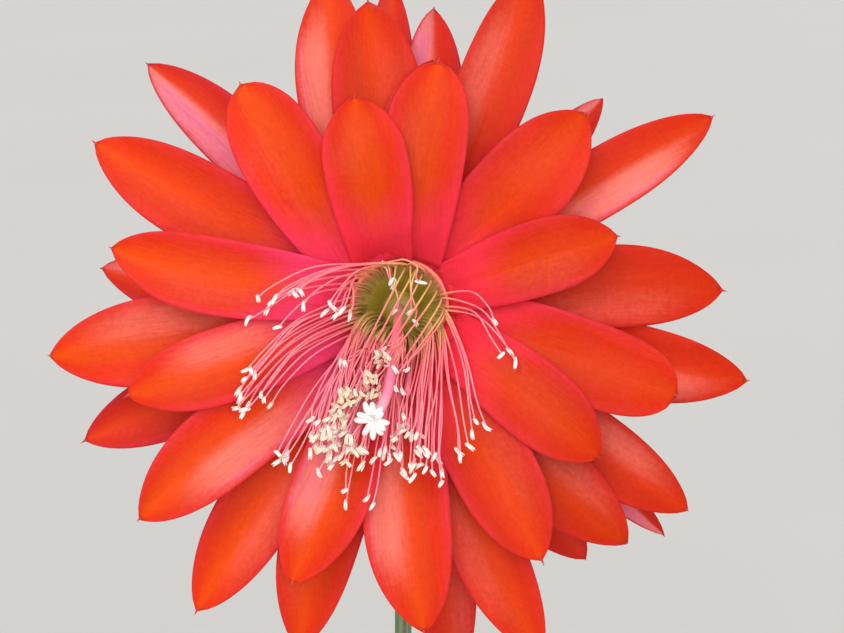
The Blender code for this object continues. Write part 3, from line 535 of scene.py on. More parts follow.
class Value:
    """A node's output, which takes part in sums as a number does."""

    def __init__(self, look, socket):
        self.look, self.socket = look, socket

    def __add__(self, other):
        return self.look.maths("ADD", self, other)

    def __sub__(self, other):
        return self.look.maths("SUBTRACT", self, other)

    def __mul__(self, other):
        return self.look.maths("MULTIPLY", self, other)

    def swing(self, reach):
        """A noise as a change of half the reach up or down."""
        return (self - 0.5) * reach

    def between(self, low, high, start=0.0, end=1.0):
        """A soft step from start to end while the value goes from low to high."""
        inputs = {"Value": self, "From Min": low, "From Max": high, "To Min": start, "To Max": end}
        return self.look.node("MapRange", inputs, "Result", interpolation_type="SMOOTHSTEP")


class Look:
    """A procedural material while it is put together."""

    def __init__(self, name, roughness, specular=0.5, soft=None, **more):
        """Soft is the subsurface weight, scale and radius."""
        self.material = bpy.data.materials.new(name)
        self.material.use_nodes = True
        self.tree = self.material.node_tree
        self.place = self.node("TexCoord", {}, "Object")
        self.set(roughness=roughness, **more)
        self.feed(self.tree.nodes["Principled BSDF"].inputs["Specular IOR Level"], specular)
        if soft:
            self.set(subsurface_weight=soft[0], subsurface_scale=soft[1], subsurface_radius=soft[2])

    def feed(self, socket, value):
        """Link a socket to a node's output, or set it to a plain value."""
        if isinstance(value, Value):
            self.tree.links.new(value.socket, socket)
        else:
            socket.default_value = (*rgb(value), 1.0) if socket.type == "RGBA" else value

    def set(self, **settings):
        """Set or link the shader's own sockets."""
        for name, value in settings.items():
            self.feed(self.tree.nodes["Principled BSDF"].inputs[name.replace("_", " ").title()], value)

    def node(self, kind, inputs, output=0, **settings):
        """One output of a new node."""
        made = self.tree.nodes.new("ShaderNode" + kind)
        for name, value in settings.items():
            setattr(made, name, value)
        for key, value in inputs.items():
            self.feed(made.inputs[key], value)
        return Value(self, made.outputs[output])

    def note(self, name, output="Fac"):
        return self.node("Attribute", {}, output, attribute_name=name)

    def stretched(self, scale):
        return self.node("Mapping", {"Vector": self.place, "Scale": scale})

    def noise(self, scale, detail=3.0, rough=0.5, vector=None):
        inputs = {"Vector": vector or self.place, "Scale": scale, "Detail": detail, "Roughness": rough}
        return self.node("TexNoise", inputs, "Fac")

    def cells(self, scale):
        return self.node("TexVoronoi", {"Vector": self.place, "Scale": scale}, "Distance")

    def maths(self, operation, first, second=0.0):
        return self.node("Math", {0: first, 1: second}, operation=operation)

    def mix(self, share, first, second, blend="MIX"):
        inputs = {0: share, 6: first, 7: second}
        return self.node("Mix", inputs, 2, data_type="RGBA", blend_type=blend)

    def ramp(self, value, *stops):
        """Colours along a value. Each stop is a place and a colour."""
        made = self.node("ValToRGB", {"Fac": value}, "Color")
        line = made.socket.node.color_ramp
        while len(line.elements) < len(stops):
            line.elements.new(0.5)
        for element, (place, *colour) in zip(line.elements, stops):
            element.position = place
            element.color = (*rgb(colour), 1.0)
        return made

    def finished(self, colour, height, depth, strength):
        """The material with its colour, and a relief of a depth and strength."""
        inputs = {"Height": height, "Distance": depth, "Strength": strength}
        self.set(base_color=colour, normal=self.node("Bump", inputs, "Normal"))
        return self.material


def tepal_look(name, band, body, margin, throat, back, pale, deep):
    """Silky tepal flesh: an orange band, redder flanks, pink margins, magenta at the throat, a painted
    highlight on one half, painted light on the bases to the lower left and deep red that is partly painted
    shade.
    """
    look = Look(name, 0.46, 0.09, (0.25, 0.005, (1.0, 0.25, 0.12)))
    flow = look.note("flow", "Vector")
    along = look.note("along")
    streaks = look.noise(1.1, 4.0, vector=flow)
    patches = look.noise(0.14, 2.0, vector=flow)
    down = look.noise(800.0, 3.0, 0.6)
    edge = look.maths("ABSOLUTE", look.note("across"))
    ragged = edge + streaks.swing(0.18)
    flank = (ragged + patches.between(0.3, 0.7, -0.14, 0.14)).between(0.02, 0.66)
    rim = ragged.between(0.62, 1.06) * along.between(0.35, 0.95, 1.0, 0.35)
    colour = look.mix(rim, look.mix(flank, band, body), margin)
    # Deeper red on the outer tepals and at random, and painted shade that grows toward the tepals on the
    # right
    colour = look.mix(look.note("deep") * 0.8, colour, deep)
    # Painted highlight: the lit half of each tepal turns pale salmon, with painted lilac sheen at its margin
    painted_highlight = look.note("pale") + streaks.swing(0.24) + down.swing(0.22)
    colour = look.mix(painted_highlight.between(-0.05, 1.15, 0.0, 0.86), colour, pale)
    lilac = ragged.between(0.66, 1.05) * painted_highlight.between(0.25, 0.8, 0.0, 0.72)
    lilac = look.maths("MAXIMUM", lilac, painted_highlight.between(0.95, 1.5, 0.0, 0.42))
    colour = look.mix(lilac, colour, (226, 112, 172))
    inward = along + edge * -0.12 + streaks.swing(0.16)
    # The magenta throat, turned a brighter pink as painted light on the bases that face the lower left
    throat_with_painted_light = look.mix(look.note("rosy"), throat, (255, 72, 126))
    colour = look.mix(inward.between(0.06, 0.42, 1.0, 0.0), colour, throat_with_painted_light)
    colour = look.mix(look.note("back"), colour, back)
    shade = patches.between(0.3, 0.75, 0.88, 1.08) + down.between(0.2, 0.8, -0.05, 0.05)
    grey = look.node("CombineColor", {0: shade, 1: shade, 2: shade})
    colour = look.mix(1.0, colour, grey, "MULTIPLY")
    veins = look.noise(2.6, vector=flow).between(0.48, 0.7) * 0.2
    fibres = look.noise(2.2, vector=flow) + streaks * 0.8
    height = fibres + look.noise(170.0, 2.0) * 3.5
    return look.finished(look.mix(veins, colour, (196, 20, 22)), height, 0.00016, 0.45)


def tube_look():
    """Green ovary, red-flushed tube, and a throat that turns from olive to a tan rim."""
    look = Look("tube and throat", 0.42, 0.4, (0.12, 0.003, (0.7, 0.6, 0.2)), coat_weight=0.06)
    along = look.note("along") + look.noise(160.0, 4.0).swing(0.16)
    outside = look.ramp(along, (0.0, 96, 120, 52), (0.3, 122, 132, 62), (0.5, 176, 110, 66),
                        (0.75, 206, 82, 62), (1.0, 214, 66, 70))
    depth = look.note("inside")
    inside = look.ramp(depth - look.note("rib") * 0.14, (0.0, 240, 128, 112), (0.05, 242, 190, 146),
                       (0.16, 238, 220, 138), (0.5, 222, 206, 90), (1.0, 206, 188, 70))
    colour = look.mix(depth.between(0.0, 0.02), outside, inside)
    colour = look.mix(look.note("scale") * 0.75, colour, (196, 84, 60))
    return look.finished(colour, look.noise(900.0, 4.0), 0.00025, 0.5)


def filament_look():
    """Filaments run from green-tan at the root through salmon pink to nearly white."""
    look = Look("filaments", 0.38, 0.45, (0.35, 0.0015, (1.0, 0.5, 0.4)))
    colour = look.ramp(look.note("along"), (0.0, 172, 164, 62), (0.2, 208, 192, 104),
                       (0.34, 240, 184, 134), (0.47, 253, 152, 140), (0.6, 255, 130, 146),
                       (0.9, 255, 160, 170), (1.0, 255, 220, 208))
    return look.finished(colour, look.noise(1400.0, 2.0), 0.0001, 0.4)


def anther_look():
    """Anthers covered with cream pollen."""
    look = Look("pollen", 0.72, soft=(0.25, 0.0012, (1.0, 0.8, 0.5)))
    grains = look.cells(5200.0)
    tone = look.mix(look.note("cream"), (255, 253, 246), (255, 226, 190))
    colour = look.mix(grains.between(0.35, 0.8, 0.0, 0.2), tone, (252, 220, 184))
    return look.finished(colour, grains, 0.00018, 0.8)


def style_look():
    """A rose-pink style, green in the throat, under a white stigma."""
    look = Look("style and stigma", 0.5, soft=(0.3, 0.002, (1.0, 0.6, 0.5)), sheen_weight=0.15)
    along = look.note("along")
    tone = look.ramp(along, (0.0, 176, 160, 84), (0.22, 208, 144, 100), (0.4, 244, 116, 124),
                     (0.68, 250, 132, 166), (0.85, 255, 206, 208), (0.94, 255, 249, 244))
    mottled = look.noise(1200.0).between(0.4, 0.8, 0.0, 0.18)
    colour = look.mix(mottled, tone, (236, 150, 150))
    return look.finished(colour, look.cells(3600.0), 0.00014, along.between(0.8, 0.95, 0.1, 0.8))


def stem_look():
    """Waxy green stems, paler and red-edged where young, corky at the foot."""
    look = Look("stem skin", 0.5, 0.45, (0.06, 0.002, (0.4, 0.7, 0.15)))
    look.set(coat_weight=0.08, coat_roughness=0.35)
    patches = look.noise(46.0, 5.0, 0.6)
    fine = look.noise(700.0)
    along = look.note("along")
    flesh = look.ramp(along + patches.swing(0.5), (0.0, 70, 98, 44), (0.45, 86, 122, 52),
                      (0.8, 112, 150, 64), (1.0, 140, 170, 78))
    flesh = look.mix(fine.between(0.45, 0.7, 0.0, 0.22), flesh, (150, 172, 92))
    flesh = look.mix(look.note("vein") * 0.38, flesh, (146, 172, 92))
    reddish = look.note("edge").between(0.9, 1.0) * along.between(0.25, 1.0, 0.25, 0.85)
    flesh = look.mix(reddish, flesh, (150, 62, 48))
    grain = look.noise(520.0, 5.0, vector=look.stretched((1.0, 1.0, 0.25)))
    bark = look.mix(grain, (118, 92, 58), (178, 154, 112))
    cork = (look.note("cork") + patches.swing(1.1)).between(0.38, 0.62)
    look.set(roughness=cork * 0.38 + patches.between(0.2, 0.8, 0.36, 0.52))
    height = fine * 0.5 + look.noise(130.0, 4.0)
    return look.finished(look.mix(cork, flesh, bark), height, 0.0006, cork.between(0.0, 1.0, 0.35, 1.0))


def felt_look():
    """The woolly areoles and their bristles."""
    look = Look("areole felt", 0.85, sheen_weight=0.3)
    fuzz = look.noise(3000.0, 4.0)
    return look.finished(look.mix(fuzz, (120, 94, 58), (214, 196, 158)), fuzz, 0.0003, 0.9)


def clay_look():
    """Fired clay with throwing lines, pits, lime bloom at the foot and a crust under the rim."""
    look = Look("fired clay", 0.5, 0.25)
    broad = look.noise(14.0, 5.0, 0.6)
    fine = look.noise(420.0, 4.0, 0.7)
    lines = look.noise(620.0, vector=look.stretched((0.05, 0.05, 1.0)))
    fired = look.ramp(broad, (0.25, 166, 88, 56), (0.5, 188, 104, 68), (0.78, 206, 130, 92))
    fired = look.mix(fine.between(0.35, 0.75, 0.0, 0.4), fired, (150, 78, 50))
    fired = look.mix(lines.between(0.4, 0.7, 0.0, 0.14), fired, (214, 146, 110))
    wavy = look.node("SeparateXYZ", {0: look.place}, "Z") + broad.swing(0.09)
    lime = wavy.between(0.05, 0.008) * fine.between(0.35, 0.6, 0.2, 0.8)
    crust = wavy.between(0.1, 0.128) * fine.between(0.42, 0.62, 0.1, 0.6)
    stain = look.maths("MAXIMUM", lime, crust) * 0.7
    look.set(roughness=fine.between(0.2, 0.8, 0.72, 0.92))
    height = lines * 0.9 + fine * 0.7 + look.cells(330.0).between(0.0, 0.14, -0.8, 0.0)
    return look.finished(look.mix(stain, fired, (222, 204, 184)), height, 0.0005, 0.7)


def mix_look():
    """Dark, fibrous potting mix."""
    look = Look("potting mix", 0.93, 0.2)
    fine = look.noise(900.0, 5.0, 0.7)
    tone = look.ramp(look.noise(120.0, 5.0, 0.65),
                     (0.3, 38, 27, 19), (0.5, 66, 48, 34), (0.72, 104, 80, 56))
    colour = look.mix(fine.between(0.4, 0.75, 0.0, 0.5), tone, (28, 20, 14))
    return look.finished(colour, look.cells(260.0) * 1.2 + fine, 0.0012, 1.0)


def bark_look():
    """Weathered bark chips, each of its own brown."""
    look = Look("bark chips", 0.86, 0.25)
    grain = look.noise(2.0, 5.0, 0.65, look.note("flow", "Vector"))
    tone = look.ramp(look.note("seed"), (0.0, 58, 38, 26), (0.4, 98, 66, 44), (0.75, 134, 96, 66),
                     (1.0, 166, 128, 92))
    colour = look.mix(grain.between(0.35, 0.7, 0.0, 0.65), tone, (44, 29, 20))
    return look.finished(colour, grain + look.noise(1200.0), 0.0005, 0.9)


def perlite_look():
    look = Look("perlite", 0.8, soft=(0.1, 0.001, (1.0, 0.2, 0.1)))
    colour = look.mix(look.noise(300.0), (238, 234, 224), (206, 196, 178))
    return look.finished(colour, look.cells(1500.0), 0.0004, 0.8)


def fibre_look():
    look = Look("root fibres", 0.8)
    colour = look.mix(look.noise(500.0, 4.0), (96, 70, 44), (172, 140, 98))
    return look.finished(colour, look.noise(2400.0, 2.0), 0.0001, 0.5)


def floor_look():
    look = Look("pale floor", 0.75, 0.2)
    look.set(base_color=look.mix(look.noise(3.0, 2.0), (206, 204, 201), (210, 208, 205)))
    return look.material


# Pot and potting mix

def inner_wall_radius(height):
    share = (height - POT_FLOOR) / (POT_HEIGHT - POT_FLOOR)
    low = POT_FOOT_RADIUS - POT_WALL
    high = POT_RIM_RADIUS - POT_WALL - RIM_EXTRA
    return low + (high - low) * share


def rounded(profile, radius, steps=5):
    """A profile whose inner corners are each replaced by a short curve."""
    curved = [profile[0]]
    for before, corner, after in zip(profile, profile[1:], profile[2:]):
        before, corner, after = (np.array(p, float) for p in (before, corner, after))
        back, ahead = before - corner, after - corner
        reach = min(radius, 0.45 * np.linalg.norm(back), 0.45 * np.linalg.norm(ahead))
        start = corner + back / np.linalg.norm(back) * reach
        end = corner + ahead / np.linalg.norm(ahead) * reach
        for i in range(steps + 1):
            t = i / steps
            point = start * (1 - t) ** 2 + corner * 2 * t * (1 - t) + end * t * t
            curved.append(tuple(point))
    return curved + [profile[-1]]


def make_pot(look):
    band = POT_HEIGHT - POT_RIM_HEIGHT
    profile = rounded([
        (0, 0),
        (POT_FOOT_RADIUS, 0),
        (POT_SHOULDER_RADIUS, band - LEDGE[1]),
        (POT_SHOULDER_RADIUS + LEDGE[0], band),
        (POT_RIM_RADIUS - RIM_FLARE, band),
        (POT_RIM_RADIUS, POT_HEIGHT),
        (inner_wall_radius(POT_HEIGHT), POT_HEIGHT),
        (inner_wall_radius(POT_FLOOR), POT_FLOOR),
        (0, POT_FLOOR),
    ], POT_ROUNDING)
    pot = turned("clay_pot", profile, POT_SIDES)
    drains = []
    for k in range(DRAIN_COUNT):
        angle = 2 * math.pi * (k + 0.5) / DRAIN_COUNT
        middle = (DRAIN_RING_RADIUS * math.cos(angle), DRAIN_RING_RADIUS * math.sin(angle), 0)
        drains.append((middle, DRAIN_RADIUS, 4 * POT_FLOOR))
    bore(pot, drains)
    pot.data.shade_smooth()
    pot.data.set_sharp_from_angle(angle=math.radians(50))
    adopt(pot, look, "pot")


def soil_height(x, y):
    """Height of the mix's crumbly top at a place."""
    edge = inner_wall_radius(SOIL_LEVEL)
    share = min(math.hypot(x, y) / edge, 1.0)
    crumb = noise.fractal(Vector((x * 90, y * 90, 0.0)), 1.0, 2.0, 3)
    grit = noise.noise(Vector((x * 600, y * 600, 3.0)))
    return SOIL_LEVEL + SOIL_DOME * (1 - share * share) + SOIL_CRUMB * crumb + SOIL_GRIT * grit


def make_soil(look):
    bottom = POT_FLOOR + SEAT_GAP
    lowest_side = POT_FLOOR + SOIL_BEVEL + SEAT_GAP
    profile = [
        (0, bottom),
        (inner_wall_radius(POT_FLOOR) - SOIL_BEVEL - SEAT_GAP, bottom),
        (inner_wall_radius(lowest_side) - 1.5 * SEAT_GAP, lowest_side),
    ]
    edge = inner_wall_radius(SOIL_LEVEL) - 1.5 * SEAT_GAP
    top = SOIL_LEVEL + 0.5 * SOIL_DOME
    profile += [(edge * share, top) for share in np.linspace(1.0, 0.0, SOIL_RINGS)]
    soil = turned("potting_mix", profile, SOIL_SIDES)
    for vert in soil.data.vertices:
        if vert.co.z > SOIL_LEVEL:
            vert.co.z = soil_height(vert.co.x, vert.co.y)
    depth = SHANK_IN_SOIL + SEAT_GAP
    low = SHANK_BOTTOM - SEAT_GAP + depth
    bore(soil, [((s.foot[0] * MM, s.foot[1] * MM, low), SHANK_RADIUS + 2 * SEAT_GAP, 2 * depth)
                for s in STEMS.values()])
    soil.data.shade_smooth()
    adopt(soil, look, "soil")


def free_place(rng, room):
    """A random place on the mix that keeps clear of the wall and the shanks."""
    edge = inner_wall_radius(SOIL_LEVEL) - room
    while True:
        x, y = rng.uniform(-edge, edge), rng.uniform(-edge, edge)
        clear = all(math.hypot(x - s.foot[0] * MM, y - s.foot[1] * MM) > SHANK_RADIUS + room
                    for s in STEMS.values())
        if clear and math.hypot(x, y) < edge:
            return x, y


def random_turn(rng, lean):
    turn = Matrix.Rotation(rng.uniform(0, 2 * math.pi), 3, "Z")
    return np.array(turn @ Matrix.Rotation(rng.uniform(-lean, lean), 3, "X")
                    @ Matrix.Rotation(rng.uniform(-lean, lean), 3, "Y"))


def make_bark(look):
    """Flat, torn chips of bark that lie on the mix."""
    rng = random.Random(SEED + 20)
    bundle = Bundle("seed", "flow")
    for _ in range(BARK_CHIPS):
        long = rng.uniform(*BARK_REACH) * MM
        wide = long * rng.uniform(*BARK_SLIMNESS)
        thick = rng.uniform(*BARK_DEPTH) * MM
        outline = []
        for corner in turns(BARK_SIDES):
            angle = corner + rng.uniform(-0.25, 0.25)
            reach = rng.uniform(0.75, 1.1)
            outline.append((math.cos(angle) * long * reach, math.sin(angle) * wide * reach))
        rings = []
        for level, inset in BARK_LEVELS:
            rings.append([(x * inset, y * inset, level * thick + rng.uniform(-0.12, 0.12) * thick)
                          for x, y in outline])
        rings = np.array(rings)
        x, y = free_place(rng, long + 0.6 * MM)
        middle = np.array((x, y, soil_height(x, y) + 0.6 * thick))
        turn = random_turn(rng, BARK_LEAN)
        seed = rng.random()
        flow = rings.reshape(-1, 3) * np.array(BARK_GRAIN) + seed * 40
        add_rings(bundle, rings, lambda points: points @ turn.T + middle, seed=seed, flow=flow)
    bundle.piece("bark_chips", look, "mix").data.set_sharp_from_angle(angle=math.radians(38))


def make_perlite(look):
    rng = random.Random(SEED + 21)
    ball = bmesh.new()
    bmesh.ops.create_icosphere(ball, subdivisions=2, radius=1.0)
    shape = np.array([v.co for v in ball.verts])
    faces = [tuple(v.index for v in f.verts) for f in ball.faces]
    ball.free()
    bundle = Bundle()
    for _ in range(PERLITE_GRAINS):
        radius = rng.uniform(*PERLITE_RADIUS) * MM
        seed = rng.uniform(0, 50)
        lumps = np.array([1 + 0.3 * noise.noise(Vector(p) * 1.6 + Vector((seed, 0, 0))) for p in shape])
        squash = np.array((1.0, rng.uniform(0.7, 1.0), rng.uniform(0.55, 0.9)))
        x, y = free_place(rng, radius + 0.4 * MM)
        middle = np.array((x, y, soil_height(x, y) + 0.45 * radius))
        turn = random_turn(rng, PERLITE_LEAN)
        bundle.add((shape * lumps[:, None] * squash * radius) @ turn.T + middle, faces)
    bundle.piece("perlite_grains", look, "mix")


def make_fibres(look):
    rng = random.Random(SEED + 22)
    bundle = Bundle()
    for _ in range(ROOT_FIBRES):
        reach = rng.uniform(*FIBRE_LENGTH) * MM
        x, y = free_place(rng, 4 * MM)
        heading, bend = rng.uniform(0, 2 * math.pi), rng.uniform(-1.4, 1.4)
        route = []
        for share in np.linspace(0, 1, 9):
            angle = heading + bend * share
            px = x + math.cos(angle) * reach * (share - 0.5)
            py = y + math.sin(angle) * reach * (share - 0.5)
            if math.hypot(px, py) > inner_wall_radius(SOIL_LEVEL) - 2 * MM:
                break
            route.append((px, py, soil_height(px, py) + (0.2 + 1.1 * math.sin(share * math.pi)) * MM))
        if len(route) > 3:
            add_rings(bundle, sweep(route, rng.uniform(*FIBRE_RADIUS) * MM, 5, (0, 0, 1)))
    bundle.piece("root_fibres", look, "mix")


# Flat stems

def margin(place, width, length, phase):
    """Distance of one margin from the midrib at a place along the stem."""
    half = width / 2
    grown = smooth_step((place - SHANK_LENGTH) / WIDENING)
    step = (place / LOBE + phase) % 1.0
    lobe = min(step / LOBE_PEAK, (1.0 - step) / (1.0 - LOBE_PEAK))
    scallop = 1.0 - NOTCH_DEPTH * grown * (1.0 - math.sin(min(lobe, 1.0) * math.pi / 2)) ** 1.6
    ahead = max((length - place) / STEM_TIP, 0.0)
    rounding = math.sqrt(1.0 - (1.0 - min(ahead, 1.0)) ** 2)
    return SHANK_RADIUS + (half - SHANK_RADIUS) * grown * scallop * max(rounding, 0.12)


def stem_length(stem):
    return SHANK_LENGTH + WIDENING * 0.5 + stem.lobes * LOBE


def stem_frame(stem, place, length):
    """Centre, direction, width direction and thickness direction at a place."""
    steps = 60
    heading = math.radians(stem.heading)
    out = Vector((math.cos(heading), math.sin(heading), 0.0))
    up = Vector((0.0, 0.0, 1.0))
    centre = Vector((stem.foot[0] * MM, stem.foot[1] * MM, SHANK_BOTTOM))
    ahead = up
    for i in range(steps):
        middle = (i + 0.5) / steps * place
        share = min(max((middle - SHANK_IN_SOIL) / (stem.arch * MM), 0.0), 1.0)
        bend = math.radians(stem.lean) * share * share * (3 - 2 * share)
        ahead = up * math.cos(bend) + out * math.sin(bend)
        centre = centre + ahead * (place / steps)
    turn = math.radians(stem.face + stem.twist * place / length)
    across = Vector((math.cos(turn), math.sin(turn), 0.0))
    across = (across - ahead * across.dot(ahead)).normalized()
    return centre, ahead, across, ahead.cross(across)


def side_vein(place, inward, phase):
    """How strongly a side vein, which runs forward from the midrib to a notch, shows."""
    start = place / LOBE + phase + LOBE_PEAK * inward
    gap = abs((start + 0.5) % 1.0 - 0.5) * LOBE
    return math.exp(-(gap / VEIN_SPREAD) ** 2)


def half_section(stem, place, length, phase, sway):
    """One half of a stem's cross-section: distance out, half thickness, wave, vein, edge."""
    reach = margin(place, stem.width * MM, length, phase)
    flat = float(smooth_step((place - SHANK_LENGTH) / WIDENING))
    thin = 1.0 - 0.35 * place / length
    rows = []
    for share in STEM_COLUMNS:
        out = reach * share
        blunt = math.sqrt(max(1 - share ** 14, 0.02))
        flesh = (0.5 * MARGIN_THICKNESS + 0.55 * MM * thin * (1 - share)) * blunt
        rib = (0.5 * MIDRIB_THICKNESS * thin - 0.8 * MM) * math.exp(-(out / MIDRIB_SPREAD) ** 2)
        vein = side_vein(place, 1 - share, phase) * min(share * 4, 1.0) * flat
        thickness = flesh + rib + VEIN_HEIGHT * vein
        round_half = SHANK_RADIUS * math.sqrt(max(1 - share * share, 0.0))
        wave = flat * share * share * WAVE_HEIGHT * math.sin(place / WAVE_LENGTH + sway + 2 * phase)
        rows.append((out, thickness * flat + round_half * (1 - flat), wave, vein, share * flat))
    return rows


def make_stem(name, stem, look):
    length = stem_length(stem)
    sway = random.Random(name).uniform(0, 6)
    bundle = Bundle(*STEM_NOTES)
    points, notes = [], []
    places = [*np.linspace(0, length - 3 * MM, int(length / STATION_STEP))]
    places += [length - d * MM for d in STEM_ENDS]
    for place in places:
        centre, _, across, through = stem_frame(stem, place, length)
        right, left = (half_section(stem, place, length, phase, sway) for phase in (0.0, 0.5))
        line = [(-out, *rest) for out, *rest in reversed(left)] + right[1:]
        cork = 1.0 - float(smooth_step((place - SHANK_LENGTH + CORK_OVERLAP) / CORK_FADE))
        for sign in (1, -1):
            for out, thickness, wave, vein, edge in line[::sign]:
                points.append(centre + across * out + through * (wave + sign * thickness))
                notes.append((place / length, edge, vein, cork * (1 - 0.55 * edge)))
    rings = np.array(points).reshape(len(places), -1, 3)
    add_rings(bundle, rings, **dict(zip(STEM_NOTES, np.array(notes).T)))
    if name == "stem_1":
        start, growth = areole()
        depths, radii = np.array(CUSHION).T * MM
        add_rings(bundle, sweep([start - growth * d for d in depths], radii, 28), along=0.7, cork=0.1)
    bundle.piece(name + "_skin", look, "stem", name)


def areole():
    """Where the bloom grows from the margin of stem_1, and the direction it sets out in."""
    stem = STEMS["stem_1"]
    length = stem_length(stem)
    place = BLOOM_NOTCH * LOBE
    centre, ahead, across, _ = stem_frame(stem, place, length)
    growth = across * math.cos(CUSHION_RISE) + ahead * math.sin(CUSHION_RISE)
    notch = centre + across * margin(place, stem.width * MM, length, 0.0)
    return notch + growth * CUSHION_LENGTH, growth


def notches(stem):
    """Every notch of a stem: its place and which margin it is on."""
    length = stem_length(stem)
    for sign, phase in ((1, 0.0), (-1, 0.5)):
        k = 0
        while (k + phase) * LOBE < length - 6 * MM:
            if (k + phase) * LOBE > SHANK_LENGTH + 0.3 * WIDENING:
                yield (k + phase) * LOBE, sign, phase
            k += 1


def make_areoles(look):
    """A small woolly cushion in each notch, with a few short bristles."""
    rng = random.Random(SEED + 30)
    bundle = Bundle()
    for name, stem in STEMS.items():
        length = stem_length(stem)
        for place, sign, phase in notches(stem):
            if name == "stem_1" and sign > 0 and abs(place - BLOOM_NOTCH * LOBE) < MM:
                continue
            centre, ahead, across, through = stem_frame(stem, place, length)
            out = across * sign
            foot = centre + out * (margin(place, stem.width * MM, length, phase) - 0.5 * MM)
            heights, radii = np.array(AREOLE_SHAPE).T * MM
            add_rings(bundle, sweep([foot + out * d for d in heights], radii, 9))
            for _ in range(rng.randint(2, 4)):
                aim = (out + ahead * rng.uniform(-0.6, 0.8) + through * rng.uniform(-0.7, 0.7)).normalized()
                start = foot + out * 0.6 * MM
                reach = rng.uniform(*BRISTLE_LENGTH) * MM
                hair = [start + aim * reach * s for s in (0.0, 0.5, 1.0)]
                add_rings(bundle, sweep(hair, np.array(BRISTLE_RADII) * MM, 5, ASLANT))
    bundle.piece("areoles", look, "stem")


# Tepals

class Relief:
    """The foremost surface so far over the bloom's face, on a fine grid of cells."""

    CELL = 0.5
    HALF = 120.0
    NOTHING = -1000.0

    def __init__(self):
        count = int(2 * self.HALF / self.CELL)
        self.front = np.full((count, count), self.NOTHING)

    def cells(self, right, up):
        last = len(self.front) - 1
        i = np.clip(((right + self.HALF) / self.CELL).astype(int), 0, last)
        j = np.clip(((up + self.HALF) / self.CELL).astype(int), 0, last)
        return i, j

    def read(self, right, up):
        return self.front[self.cells(right, up)]

    def add(self, dense):
        np.maximum.at(self.front, self.cells(dense[..., 0], dense[..., 1]), dense[..., 2])


def line_weights(marks, count, soften):
    """Weights that spread values at the marks smoothly over evenly spaced places."""
    places = np.linspace(marks[0], marks[-1], count)
    weights = np.array([np.interp(places, marks, one) for one in np.eye(len(marks))]).T
    window = np.hanning(2 * soften + 3)[1:-1]
    window /= window.sum()
    padded = np.pad(weights, ((soften, soften), (0, 0)), mode="edge")
    soft = [np.convolve(column, window, mode="valid") for column in padded.T]
    return np.array(soft).T, places


ROW_WEIGHTS, ROW_PLACES = line_weights(LIFT_ROWS, DENSE_ROWS, 16)
COLUMN_WEIGHTS, COLUMN_PLACES = line_weights(LIFT_COLUMNS, DENSE_COLUMNS, 9)
NEAR_ROW = np.abs(ROW_PLACES[:, None] - np.array(LIFT_ROWS)) <= 0.12
NEAR_COLUMN = np.abs(COLUMN_PLACES[:, None] - np.array(LIFT_COLUMNS)) <= 0.5


def lay_over(surface, relief):
    """Push a tepal's surface forward until it clears everything already placed."""
    free = smooth_step((ROW_PLACES - 0.05) / 0.12)[:, None]
    lift = np.zeros((len(LIFT_ROWS), len(LIFT_COLUMNS)))
    for _ in range(LIFT_ROUNDS):
        dense = surface.copy()
        dense[..., 2] += ROW_WEIGHTS @ lift @ COLUMN_WEIGHTS.T
        need = relief.read(dense[..., 0], dense[..., 1]) + CLEARANCE - dense[..., 2]
        need = np.maximum(need, 0.0) * free
        if need.max() < 0.05:
            break
        step = np.zeros_like(lift)
        for r in range(1, len(LIFT_ROWS)):
            for c in range(len(LIFT_COLUMNS)):
                step[r, c] = need[np.ix_(NEAR_ROW[:, r], NEAR_COLUMN[:, c])].max()
        for _ in range(2):
            padded = np.pad(step, 1, mode="edge")
            blur = (padded[:-2, 1:-1] + padded[2:, 1:-1] + padded[1:-1, :-2] + padded[1:-1, 2:]) / 4
            step = np.maximum(step, blur)
            step[0] = 0.0
        lift += step
    return dense


def half_width(tepal, share, foot):
    """Half the width of a tepal in mm, at places from its root to its tip."""
    rising = foot + (1 - foot) * np.sin(np.clip(share / WIDEST, 0, 1) * math.pi / 2)
    past = np.clip((share - WIDEST) / (1 - WIDEST), 0, 1)
    falling = (1 - past ** (2.5 + 0.7 * tepal.blunt)) ** (0.72 - 0.2 * tepal.blunt)
    return 0.5 * tepal.width * np.where(share < WIDEST, rising, np.maximum(falling, 0.02))


def tepal_surface(tepal, habit, rng):
    """The dense middle surface of a tepal, in mm, before it is laid over the others."""
    share = ROW_PLACES[:, None]
    across = COLUMN_PLACES[None, :]
    angle = math.radians(tepal.root)
    outward = np.array([math.cos(angle), math.sin(angle)])
    root = outward * (habit.root_radius + rng.uniform(-0.25, 0.25))
    along = np.array(tepal.tip) - root
    side = np.array([-along[1], along[0]]) / np.linalg.norm(along)
    sway = rng.uniform(-1.2, 1.2)
    half = half_width(tepal, share, habit.foot)
    depth = habit.root_depth + rng.uniform(-0.5, 0.5) + habit.rise * (1 - (1 - share) ** 2.2)
    depth = depth - habit.fall * share ** 3 + habit.channel * half * np.abs(across) ** 1.6
    wave = rng.uniform(0, 6)
    depth = depth + 0.35 * np.sin(share * 11 + wave + across) * across * share
    depth = depth + 0.22 * np.sin(share * 26 + 2 * wave + 3 * across) * np.abs(across) ** 3 * share
    depth = depth - 0.45 * np.exp(-(across / 0.1) ** 2) * (1 - share)
    aside = sway * np.sin(share * math.pi) + tepal.bend * np.sin(share ** 1.3 * math.pi)
    flat = root + along * share[..., None] + side * (aside + half * across)[..., None]
    inward = np.hypot(habit.root_radius, half * across) - habit.root_radius
    flat = flat - outward * (inward * smooth_step(1 - share / ROOT_CURVE))[..., None]
    return np.concatenate([flat, depth[..., None]], axis=2)


def true_size(grid):
    """Undo the viewing perspective: what stands forward looks larger than it is."""
    grid = grid.copy()
    grid[..., :2] *= 1 - grid[..., 2:3] / VIEW_DISTANCE
    return grid


